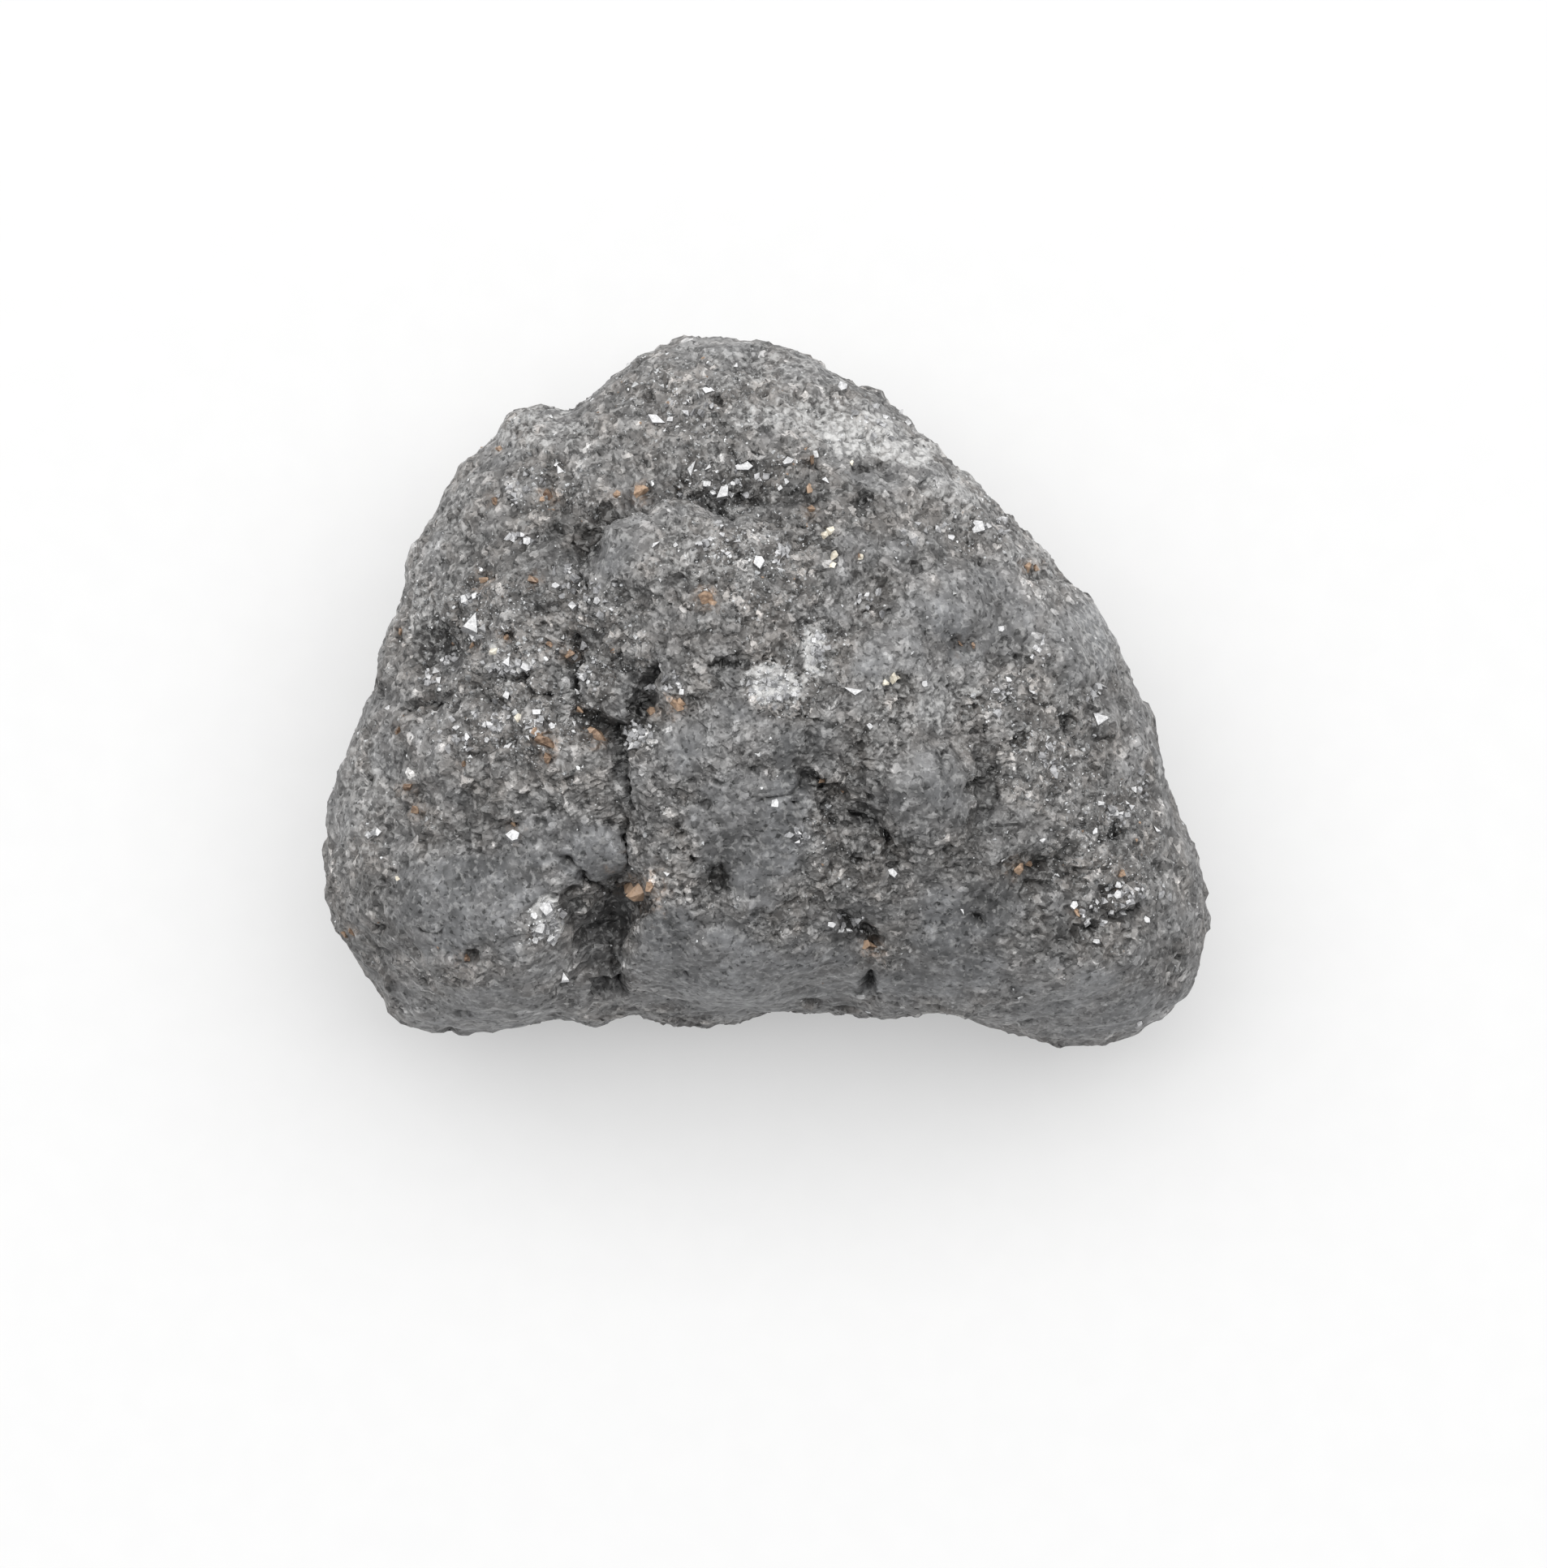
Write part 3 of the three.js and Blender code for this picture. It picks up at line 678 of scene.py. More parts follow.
RUST_GRAINS: tuple[Facet, ...] = (
    (-2.63, -0.67, 0.22), (-2.73, -0.57, 0.11), (-3.47, -0.76, 0.23), (-3.42, -1.01, 0.14),
    (-3.53, -0.62, 0.13), (-3.62, -0.58, 0.10), (-2.92, -0.24, 0.11), (-1.77, -0.26, 0.13),
    (-1.39, -0.18, 0.18), (-1.31, -0.12, 0.11), (-1.93, -3.12, 0.40), (-2.08, -3.06, 0.28),
    (-1.82, -3.02, 0.18), (-4.42, 1.80, 0.17), (-3.65, 1.79, 0.14), (-5.72, 0.99, 0.10),
    (-3.07, 0.63, 0.15), (-3.40, 0.78, 0.10), (-4.60, 0.76, 0.11), (-5.76, -0.57, 0.11),
    (-4.08, 0.89, 0.11), (-5.62, -1.45, 0.14), (-5.52, -1.83, 0.15), (-6.49, -3.73, 0.11),
    (-6.73, -3.81, 0.10), (-3.97, -2.06, 0.13), (-4.69, -4.14, 0.11), (-0.92, 1.52, 0.19),
    (-0.83, 1.45, 0.15), (-1.96, 3.17, 0.17), (0.70, 3.23, 0.11), (0.70, 2.90, 0.14),
    (0.74, 3.69, 0.11), (-3.38, 3.14, 0.18), (-3.51, 3.05, 0.10), (-4.45, 3.91, 0.10),
    (-4.18, 3.84, 0.10), (-4.26, 3.04, 0.10), (1.67, -3.98, 0.18), (1.57, -3.93, 0.13),
    (3.99, -2.73, 0.18), (4.12, -2.66, 0.11), (5.58, -2.81, 0.11), (4.88, -3.44, 0.11),
    (4.13, 2.00, 0.13), (4.25, 1.97, 0.11), (3.07, 0.81, 0.10), (3.26, 0.76, 0.09),
    (0.88, -1.38, 0.10), (-4.72, -1.10, 0.10), (-2.33, 3.13, 0.10), (1.49, 2.17, 0.10),
)

CREAM_CHIPS: tuple[Facet, ...] = (
    (0.91, 2.51, 0.18), (1.02, 2.58, 0.19), (1.07, 2.15, 0.19), (1.06, 2.02, 0.11),
    (1.98, 0.24, 0.22), (1.87, 0.18, 0.13), (2.07, 0.27, 0.10), (1.48, 2.16, 0.11),
    (-3.88, -0.38, 0.15), (-4.28, 0.69, 0.20), (1.35, 3.63, 0.10), (-5.78, -2.89, 0.09),
)

Cluster = tuple[float, float, float, float, int]

CLUSTERS: tuple[Cluster, ...] = (
    (-2.03, -0.64, 0.20, 0.18, 14), (-4.02, 0.44, 0.38, 0.08, 13), (-4.63, 1.49, 0.15, 0.10, 7),
    (-4.97, 0.55, 0.11, 0.09, 6), (-5.27, 0.26, 0.11, 0.10, 6), (-4.22, -0.45, 0.26, 0.26, 12),
    (-3.61, -0.49, 0.18, 0.18, 7), (-1.47, 0.17, 0.15, 0.15, 7), (-1.79, 0.11, 0.06, 0.05, 3),
    (0.27, 2.14, 0.10, 0.18, 9), (0.15, 0.08, 0.31, 0.20, 20), (0.80, 0.71, 0.13, 0.23, 10),
    (0.54, -2.21, 0.15, 0.10, 7), (1.36, -3.58, 0.18, 0.08, 6), (4.50, -0.98, 0.15, 0.20, 8),
    (5.51, -1.89, 0.26, 0.15, 8), (5.76, -3.17, 0.36, 0.15, 12), (5.21, -3.45, 0.28, 0.15, 8),
    (3.76, 0.02, 0.23, 0.20, 8), (-0.45, 3.31, 0.56, 0.18, 9), (-1.19, 4.48, 0.51, 0.26, 8),
    (-3.86, 3.21, 0.28, 0.20, 8), (-3.76, 2.42, 0.20, 0.13, 6), (-0.80, 2.44, 0.38, 0.26, 8),
    (3.63, 2.70, 0.20, 0.13, 5), (2.51, 2.57, 0.38, 0.20, 6), (-6.22, -2.21, 0.10, 0.08, 4),
    (-3.10, 1.80, 0.26, 0.26, 8), (-2.65, 1.55, 0.26, 0.26, 7), (1.49, 1.42, 0.26, 0.20, 5),
    (5.13, 0.02, 0.15, 0.38, 7), (-3.42, -3.58, 0.15, 0.28, 18), (1.75, 4.23, 0.38, 0.23, 8),
    (-4.88, -0.62, 0.33, 0.26, 8), (-2.84, 0.40, 0.18, 0.26, 7), (-4.50, 1.04, 0.10, 0.18, 5),
    (4.36, 0.78, 0.20, 0.18, 5), (5.95, -1.38, 0.10, 0.33, 6),
)


def unit_ball(parts: int) -> tuple[np.ndarray, np.ndarray]:
    """Makes a ball of even triangles from an icosahedron.

    Args:
        parts: How many parts each of the icosahedron's edges is split into.

    Returns:
        The ball's points, at distance 1, and its triangles, facing out.
    """
    seed = bmesh.new()
    bmesh.ops.create_icosphere(seed, subdivisions=1, radius=1.0)
    sides = np.array([[corner.co[:] for corner in face.verts] for face in seed.faces])
    seed.free()
    rows = [(i, j) for i in range(parts + 1) for j in range(parts + 1 - i)]
    number = {spot: order for order, spot in enumerate(rows)}
    weights = np.array([(parts - i - j, i, j) for i, j in rows]) / parts
    cells = [(number[i, j], number[i + 1, j], number[i, j + 1])
             for i, j in rows if i + j < parts]
    cells += [(number[i + 1, j], number[i + 1, j + 1], number[i, j + 1])
              for i, j in rows if i + j < parts - 1]
    points = (weights @ sides).reshape(-1, 3)
    faces = (np.arange(len(sides))[:, None, None] * len(rows) + np.array(cells)).reshape(-1, 3)
    _, first, owner = np.unique(np.round(points * MERGE_STEPS).astype(np.int64), axis=0,
                                return_index=True, return_inverse=True)
    return unit(points[first]), owner.reshape(-1)[faces]


class Skin:
    """A closed skin of triangles, held as arrays, with what its points need of their neighbours."""

    def __init__(self, points: np.ndarray, faces: np.ndarray) -> None:
        """Keeps the points and triangles, and lists each point's neighbours.

        Args:
            points: Rows of X, Y and Z in millimetres.
            faces: Rows of three point numbers, facing out.
        """
        self.points = points
        self.faces = faces
        start = faces.reshape(-1)
        order = np.argsort(start, kind="stable")
        self._next = np.roll(faces, -1, axis=1).reshape(-1)[order]
        self._counts = np.bincount(start, minlength=len(points))
        self._first = np.concatenate(([0], np.cumsum(self._counts)[:-1]))

    def around(self, values: np.ndarray) -> np.ndarray:
        """Averages each point's neighbours."""
        total = np.add.reduceat(values[self._next], self._first, axis=0)
        counts = self._counts if values.ndim == 1 else self._counts[:, None]
        return total / counts

    def calmed(self, values: np.ndarray, rounds: int, share: float = 0.6) -> np.ndarray:
        """Draws values towards their neighbours' average.

        Args:
            values: One number or row for each point.
            rounds: How many times.
            share: How far each time.

        Returns:
            The calmed values.
        """
        for _ in range(rounds):
            values = values + share * (self.around(values) - values)
        return values

    def face_normals(self) -> np.ndarray:
        """Gives each triangle's outward normal, as long as twice its area."""
        first, second, third = (self.points[self.faces[:, k]] for k in range(3))
        return np.cross(second - first, third - first)

    def normals(self) -> np.ndarray:
        """Gives each point's outward normal."""
        spread = self.face_normals()
        total = np.stack([
            sum(np.bincount(self.faces[:, k], spread[:, axis], len(self.points))
                for k in range(3))
            for axis in range(3)
        ], axis=1)
        return unit(total)


@dataclass(frozen=True)
class Veil:
    """A smooth random pattern: its pitch in millimetres, and the levels of its lows and highs."""

    pitch: float
    levels: Plan
    detail: float = 2.0
    span: Plan = (0.3, 0.7)


@dataclass(frozen=True)
class Shade:
    """A number that the mesh carries: its name, its span, and the levels at the span's ends."""

    name: str
    span: Plan
    levels: Plan


class NodeBench:
    """A bench on which one finish's shader nodes are laid out and joined."""

    def __init__(self, name: str) -> None:
        """Starts a material whose places are in millimetres on the stone.

        Args:
            name: The material's name.
        """
        self.material = bpy.data.materials.new(name)
        self.material.use_nodes = True
        self.tree = self.material.node_tree
        self.shader = self.tree.nodes["Principled BSDF"]
        where = self.add("ShaderNodeTexCoord").outputs["Object"]
        self.place = self.vector("SCALE", where, scale=1.0 / METRES)

    def add(self, kind: str, **settings: object) -> bpy.types.Node:
        """Adds a node of a kind and sets what is named."""
        node = self.tree.nodes.new(kind)
        for name, value in settings.items():
            setattr(node, name, value)
        return node

    def feed(self, socket: bpy.types.NodeSocket, value: object) -> None:
        """Joins a socket to another, or sets it to a number or colour."""
        if isinstance(value, bpy.types.NodeSocket):
            self.tree.links.new(value, socket)
        else:
            socket.default_value = value

    def maths(self, operation: str, first: object, second: object = 0.0,
              clamped: bool = False) -> bpy.types.NodeSocket:
        """Works out one sum.

        Args:
            operation: The sum's name, such as MULTIPLY.
            first: A socket or number.
            second: A socket or number.
            clamped: True to keep the result from 0 to 1.

        Returns:
            The result's socket.
        """
        node = self.add("ShaderNodeMath", operation=operation, use_clamp=clamped)
        self.feed(node.inputs[0], first)
        self.feed(node.inputs[1], second)
        return node.outputs[0]

    def product(self, *factors: object) -> bpy.types.NodeSocket:
        """Multiplies sockets and numbers together."""
        total = factors[0]
        for factor in factors[1:]:
            total = self.maths("MULTIPLY", total, factor)
        return total

    def vector(self, operation: str, first: object, second: object = None,
               scale: object = None) -> bpy.types.NodeSocket:
        """Works out one sum of vectors.

        Args:
            operation: The sum's name, such as ADD.
            first: A socket or vector.
            second: A socket or vector, where the sum has one.
            scale: A socket or number for the sum SCALE.

        Returns:
            The result's socket.
        """
        node = self.add("ShaderNodeVectorMath", operation=operation)
        self.feed(node.inputs[0], first)
        if second is not None:
            self.feed(node.inputs[1], second)
        if scale is not None:
            self.feed(node.inputs["Scale"], scale)
        return node.outputs[0]

    def ramp(self, value: object, low: float, high: float, start: float = 0.0,
             end: float = 1.0) -> bpy.types.NodeSocket:
        """Carries low to start and high to end, smoothly and no further.

        Args:
            value: A socket.
            low: The value where the change starts.
            high: The value where it ends.
            start: What low becomes.
            end: What high becomes.

        Returns:
            The result's socket.
        """
        node = self.add("ShaderNodeMapRange", interpolation_type="SMOOTHSTEP")
        for socket, number in zip(node.inputs, (value, low, high, start, end)):
            self.feed(socket, number)
        return node.outputs[0]

    def steps(self, value: object, stops: tuple[Plan, ...]) -> bpy.types.NodeSocket:
        """Reads a value off a curve through straight stops.

        Args:
            value: A socket from 0 to 1.
            stops: Pairs of a value and what it becomes, from 0 to TALLEST_STEP.

        Returns:
            The result's socket.
        """
        node = self.add("ShaderNodeValToRGB")
        marks = node.color_ramp.elements
        while len(marks) < len(stops):
            marks.new(0.5)
        for mark, (spot, level) in zip(marks, stops):
            mark.position = spot
            mark.color = (*[level / TALLEST_STEP] * 3, 1.0)
        self.feed(node.inputs[0], value)
        return self.maths("MULTIPLY", node.outputs[0], TALLEST_STEP)

    def blend(self, share: object, first: object, second: object) -> bpy.types.NodeSocket:
        """Mixes two colours.

        Args:
            share: How much of the second, a socket or number.
            first: A socket or colour.
            second: A socket or colour.

        Returns:
            The mixed colour's socket.
        """
        node = self.add("ShaderNodeMix", data_type="RGBA", clamp_factor=True)
        self.feed(node.inputs["Factor"], share)
        self.feed(node.inputs[6], first)
        self.feed(node.inputs[7], second)
        return node.outputs[2]

    def swell(self, pitch: float, detail: float = 2.0, where: object = None,
              output: str = "Fac") -> bpy.types.NodeSocket:
        """Makes a smooth random pattern.

        Args:
            pitch: The size of its hills in millimetres.
            detail: How many finer layers it has.
            where: The places' socket, or None for places on the stone.
            output: The socket that is wanted.

        Returns:
            The pattern's socket.
        """
        node = self.add("ShaderNodeTexNoise")
        self.feed(node.inputs["Vector"], self.place if where is None else where)
        self.feed(node.inputs["Scale"], 1.0 / pitch)
        self.feed(node.inputs["Detail"], detail)
        return node.outputs[output]

    def grains(self, pitch: float, where: object = None) -> bpy.types.Node:
        """Packs the surface with irregular grains of one pitch in millimetres."""
        node = self.add("ShaderNodeTexVoronoi")
        self.feed(node.inputs["Vector"], self.place if where is None else where)
        self.feed(node.inputs["Scale"], 1.0 / pitch)
        return node

    def written(self, name: str) -> bpy.types.NodeSocket:
        """Reads a number that the mesh carries at each point."""
        return self.add("ShaderNodeAttribute", attribute_name=name).outputs["Fac"]

    def veiled(self, veil: Veil, where: object = None) -> bpy.types.NodeSocket:
        """Lays a veil over the surface, or over other places that a socket gives."""
        pattern = self.swell(veil.pitch, veil.detail, where)
        return self.ramp(pattern, *veil.span, *veil.levels)

    def shaded(self, shade: Shade) -> bpy.types.NodeSocket:
        """Turns a number that the mesh carries into the level that it stands for."""
        return self.ramp(self.written(shade.name), *shade.span, *shade.levels)

    def channel(self, colour: object, index: int) -> bpy.types.NodeSocket:
        """Takes one of a colour's three numbers."""
        node = self.add("ShaderNodeSeparateColor")
        self.feed(node.inputs[0], colour)
        return node.outputs[index]

    def grey(self, level: object, tint: Colour) -> bpy.types.NodeSocket:
        """Makes a near-grey colour from a level and a tint."""
        return self.vector("SCALE", tint, scale=level)


@dataclass(frozen=True)
class Grit:
    """The grains that the stone's finish is made of, and places bent by their frayed edges."""

    bench: NodeBench
    granular: bpy.types.NodeSocket
    bent: bpy.types.NodeSocket
    coarse: bpy.types.Node
    fine: bpy.types.Node


@dataclass(frozen=True)
class StoneFinish:
    """The dark granular mass, with smoother bluish areas, pores, stains, pale dust, and painted light and
    shade.
    """

    level: float = 0.150
    satin_level: float = 0.145
    refraction: float = 1.5
    coarse_pitch: float = 0.13
    fine_pitch: float = 0.058
    fray_pitch: float = 0.10
    fray_reach: float = 0.10
    # The top steps make the brightest few grains much lighter: painted glints among the grains' own
    # tones.
    coarse_levels: tuple[Plan, ...] = ((0.0, 0.50), (0.25, 0.78), (0.6, 1.0), (0.82, 1.3),
                                       (0.94, 1.9), (1.0, 3.0))
    fine_levels: tuple[Plan, ...] = ((0.0, 0.72), (0.3, 0.88), (0.7, 1.04), (0.92, 1.25),
                                     (1.0, 1.7))
    satin_coarse_levels: tuple[Plan, ...] = ((0.0, 0.78), (0.2, 0.95), (0.8, 1.03), (1.0, 1.25))
    satin_fine_levels: tuple[Plan, ...] = ((0.0, 0.82), (0.5, 1.0), (1.0, 1.2))
    brush_squeeze: Triple = (0.75, 1.2, 1.2)
    brushing: Veil = Veil(0.11, (0.86, 1.16))
    clouds: Veil = Veil(1.3, (0.84, 1.18), 1.0)
    blots: Veil = Veil(0.34, (0.76, 1.26))
    pores: Veil = Veil(0.085, (0.34, 1.0), 1.0, (0.31, 0.41))
    shades: tuple[Shade, ...] = (
        # Painted shade in hollows below the broad form.
        Shade("cavity_shade", (0.0, 1.0), (1.0, 0.50)),
        # Painted shade in creases, and painted light on rises.
        Shade("crease_shade", (-0.03, 0.05), (1.14, 0.62)),
        # Painted shade along cracks, as a thin dark line.
        Shade("crack", (0.005, 0.04), (0.10, 1.0)),
        # Darkness of dark glass, and painted shade in pits, pockets and dark zones; a block in a pit is
        # painted lighter.
        Shade("glass_and_painted_shade", (0.0, 1.0), (1.0, 0.42)),
    )
    # Painted shade: darker towards the bottom.
    lower_shade_heights: Plan = (1.2, 5.0)
    lower_shade_levels: Plan = (0.88, 1.0)
    warmth: Veil = Veil(0.5, (0.0, 1.0), 1.0, (0.35, 0.65))
    plain_tint: Colour = (1.022, 1.0, 0.984)
    warm_tint: Colour = (1.060, 1.0, 0.954)
    satin_tint: Colour = (0.985, 1.0, 1.03)
    stain_tint: Colour = (1.42, 1.05, 0.80)
    stain_breaks: Veil = Veil(0.09, (0.1, 0.8), 1.0, (0.35, 0.65))
    dust_and_highlight_colour: Colour = (0.54, 0.537, 0.530)
    dust_and_highlight_breaks: Veil = Veil(0.10, (-0.62, 0.30))
    coarse_lean: float = 0.52
    fine_lean: float = 0.30
    satin_lean: float = 0.15
    granular_lean: float = 0.80
    roughness: Plan = (0.62, 0.36)

    def made(self) -> bpy.types.Material:
        """Lays out the material.

        Returns:
            The finished material.
        """
        bench = NodeBench("carbonado_mass")
        granular = bench.written("granular")
        frayed = bench.swell(self.fray_pitch, output="Color")
        bent = bench.vector("MULTIPLY_ADD", frayed, [self.fray_reach] * 3)
        bench.feed(bent.node.inputs[2], bench.place)
        coarse = bench.grains(self.coarse_pitch, bent)
        fine = bench.grains(self.fine_pitch, bent)
        grit = Grit(bench, granular, bent, coarse, fine)
        self._colour(grit, self._tone(grit))
        self._sheen(grit)
        return bench.material

    def _tone(self, grit: Grit) -> bpy.types.NodeSocket:
        """Works out how light each place is, before it is tinted.

        Args:
            grit: The grains that the finish is made of.

        Returns:
            The level's socket.
        """
        bench = grit.bench
        broad = bench.channel(grit.coarse.outputs["Color"], 0)
        small = bench.channel(grit.fine.outputs["Color"], 1)
        rough = bench.product(bench.steps(broad, self.coarse_levels),
                              bench.steps(small, self.fine_levels), self.level)
        streaks = bench.vector("MULTIPLY", grit.bent, self.brush_squeeze)
        calm = bench.product(bench.veiled(self.brushing, streaks),
                             bench.steps(broad, self.satin_coarse_levels),
                             bench.steps(small, self.satin_fine_levels), self.satin_level)
        mixed = bench.add("ShaderNodeMix", data_type="FLOAT")
        bench.feed(mixed.inputs[0], grit.granular)
        bench.feed(mixed.inputs[2], calm)
        bench.feed(mixed.inputs[3], rough)
        return bench.product(mixed.outputs[0], *self._shades(grit))

    def _shades(self, grit: Grit) -> tuple[bpy.types.NodeSocket, ...]:
        """Gives the factors of clouds, pores, dark glass, painted shade and painted light.

        Args:
            grit: The grains that the finish is made of.

        Returns:
            The factors' sockets.
        """
        bench = grit.bench
        # Painted shade: the stone is darker towards the bottom.
        height = bench.add("ShaderNodeSeparateXYZ")
        bench.feed(height.inputs[0], bench.place)
        lower_shade = bench.ramp(height.outputs[2], *self.lower_shade_heights, *self.lower_shade_levels)
        worked = (bench.shaded(shade) for shade in self.shades)
        return (bench.veiled(self.clouds), bench.veiled(self.blots, grit.bent),
                bench.veiled(self.pores, grit.bent), *worked, lower_shade)

    def _colour(self, grit: Grit, tone: object) -> None:
        """Tints the levels and adds stains, and pale dust with painted highlight.

        Args:
            grit: The grains that the finish is made of.
            tone: The level at each place.
        """
        bench = grit.bench
        plain = bench.blend(bench.veiled(self.warmth), bench.grey(tone, self.plain_tint),
                            bench.grey(tone, self.warm_tint))
        stone = bench.blend(grit.granular, bench.grey(tone, self.satin_tint), plain)
        rusty = bench.product(bench.written("stain"), bench.veiled(self.stain_breaks, grit.bent))
        stained = bench.blend(rusty, stone, bench.grey(tone, self.stain_tint))
        # Pale dust, and painted highlight on the crest and on the side towards the light.
        dust_and_highlight = bench.maths("ADD", bench.written("dust_and_highlight"),
                           bench.veiled(self.dust_and_highlight_breaks, grit.bent), clamped=True)
        dust_and_highlight_mixed = bench.blend(dust_and_highlight, stained, (*self.dust_and_highlight_colour, 1.0))
        bench.feed(bench.shader.inputs["Base Color"], dust_and_highlight_mixed)

    def _sheen(self, grit: Grit) -> None:
        """Gives each grain a tilt and a polish of its own.

        Args:
            grit: The grains that the finish is made of.
        """
        bench = grit.bench
        half = (0.5, 0.5, 0.5)
        broad = bench.vector("SUBTRACT", grit.coarse.outputs["Color"], half)
        small = bench.vector("SUBTRACT", grit.fine.outputs["Color"], half)
        lean = bench.vector("ADD", bench.vector("SCALE", broad, scale=self.coarse_lean),
                            bench.vector("SCALE", small, scale=self.fine_lean))
        reach = bench.maths("MULTIPLY_ADD", grit.granular, self.granular_lean)
        reach.node.inputs[2].default_value = self.satin_lean
        lean = bench.vector("SCALE", lean, scale=reach)
        upright = bench.add("ShaderNodeNewGeometry").outputs["Normal"]
        tilted = bench.vector("NORMALIZE", bench.vector("ADD", upright, lean))
        bench.feed(bench.shader.inputs["Normal"], tilted)
        polish = bench.channel(grit.coarse.outputs["Color"], 2)
        bench.feed(bench.shader.inputs["Roughness"],
                   bench.ramp(polish, 0.0, 1.0, *self.roughness))
        bench.shader.inputs["IOR"].default_value = self.refraction


@dataclass(frozen=True)
class GrainFinish:
    """Single grains whose level is written on the mesh, between a dark and a light colour."""

    name: str
    dark: Colour
    light: Colour
    rough: float
    refraction: float = 2.417
    spread: float = 0.25
    cloud_pitch: float = 0.05
    wear_pitch: float = 0.03
    wear: Plan = (0.7, 1.4)

    def made(self) -> bpy.types.Material:
        """Lays out the material.

        Returns:
            The finished material.
        """
        bench = NodeBench(self.name)
        clouds = Veil(self.cloud_pitch, (-self.spread, self.spread), 1.0)
        level = bench.maths("ADD", bench.written("tone"), bench.veiled(clouds), clamped=True)
        shade = bench.blend(level, (*self.dark, 1.0), (*self.light, 1.0))
        bench.feed(bench.shader.inputs["Base Color"], shade)
        worn = Veil(self.wear_pitch, (self.rough * self.wear[0], self.rough * self.wear[1]), 0.0)
        bench.feed(bench.shader.inputs["Roughness"], bench.veiled(worn))
        bench.shader.inputs["IOR"].default_value = self.refraction
        return bench.material


class Piece:
    """What every piece of the stone shares: a mesh, a slot, a finish and a body to ride on."""

    name: str
    slot: Slot

    def hung(self, mesh: bpy.types.Mesh, material: bpy.types.Material) -> bpy.types.Object:
        """Turns a mesh into a dressed object that rides on the stone's body.

        Args:
            mesh: The mesh, in metres.
            material: Its finish.

        Returns:
            The object.
        """
        mesh.materials.append(material)
        piece = bpy.data.objects.new(self.name, mesh)
        bpy.context.scene.collection.objects.link(piece)
        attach(piece, BODY)
        log.info("%s: %d faces", self.name, len(mesh.polygons))
        return piece


def solid_mesh(name: str, points: np.ndarray, faces: np.ndarray) -> bpy.types.Mesh:
    """Makes a mesh in metres from points in millimetres.

    Args:
        name: The mesh's name.
        points: Rows of X, Y and Z in millimetres.
        faces: Rows of three point numbers.

    Returns:
        The mesh.
    """
    mesh = bpy.data.meshes.new(name)
    mesh.from_pydata((points * METRES).tolist(), [], faces.tolist())
    return mesh


def write_numbers(mesh: bpy.types.Mesh, name: str, values: np.ndarray, domain: str) -> None:
    """Writes one number for each point or face on a mesh."""
    mesh.attributes.new(name, "FLOAT", domain).data.foreach_set("value", values.astype(np.float32))


def write_map(mesh: bpy.types.Mesh, corners: np.ndarray) -> None:
    """Writes the bake's map, one row of U and V for each face corner in turn."""
    flat = np.ascontiguousarray(corners, np.float32).reshape(-1)
    mesh.uv_layers.new(name=BAKE_MAP).uv.foreach_set("vector", flat)


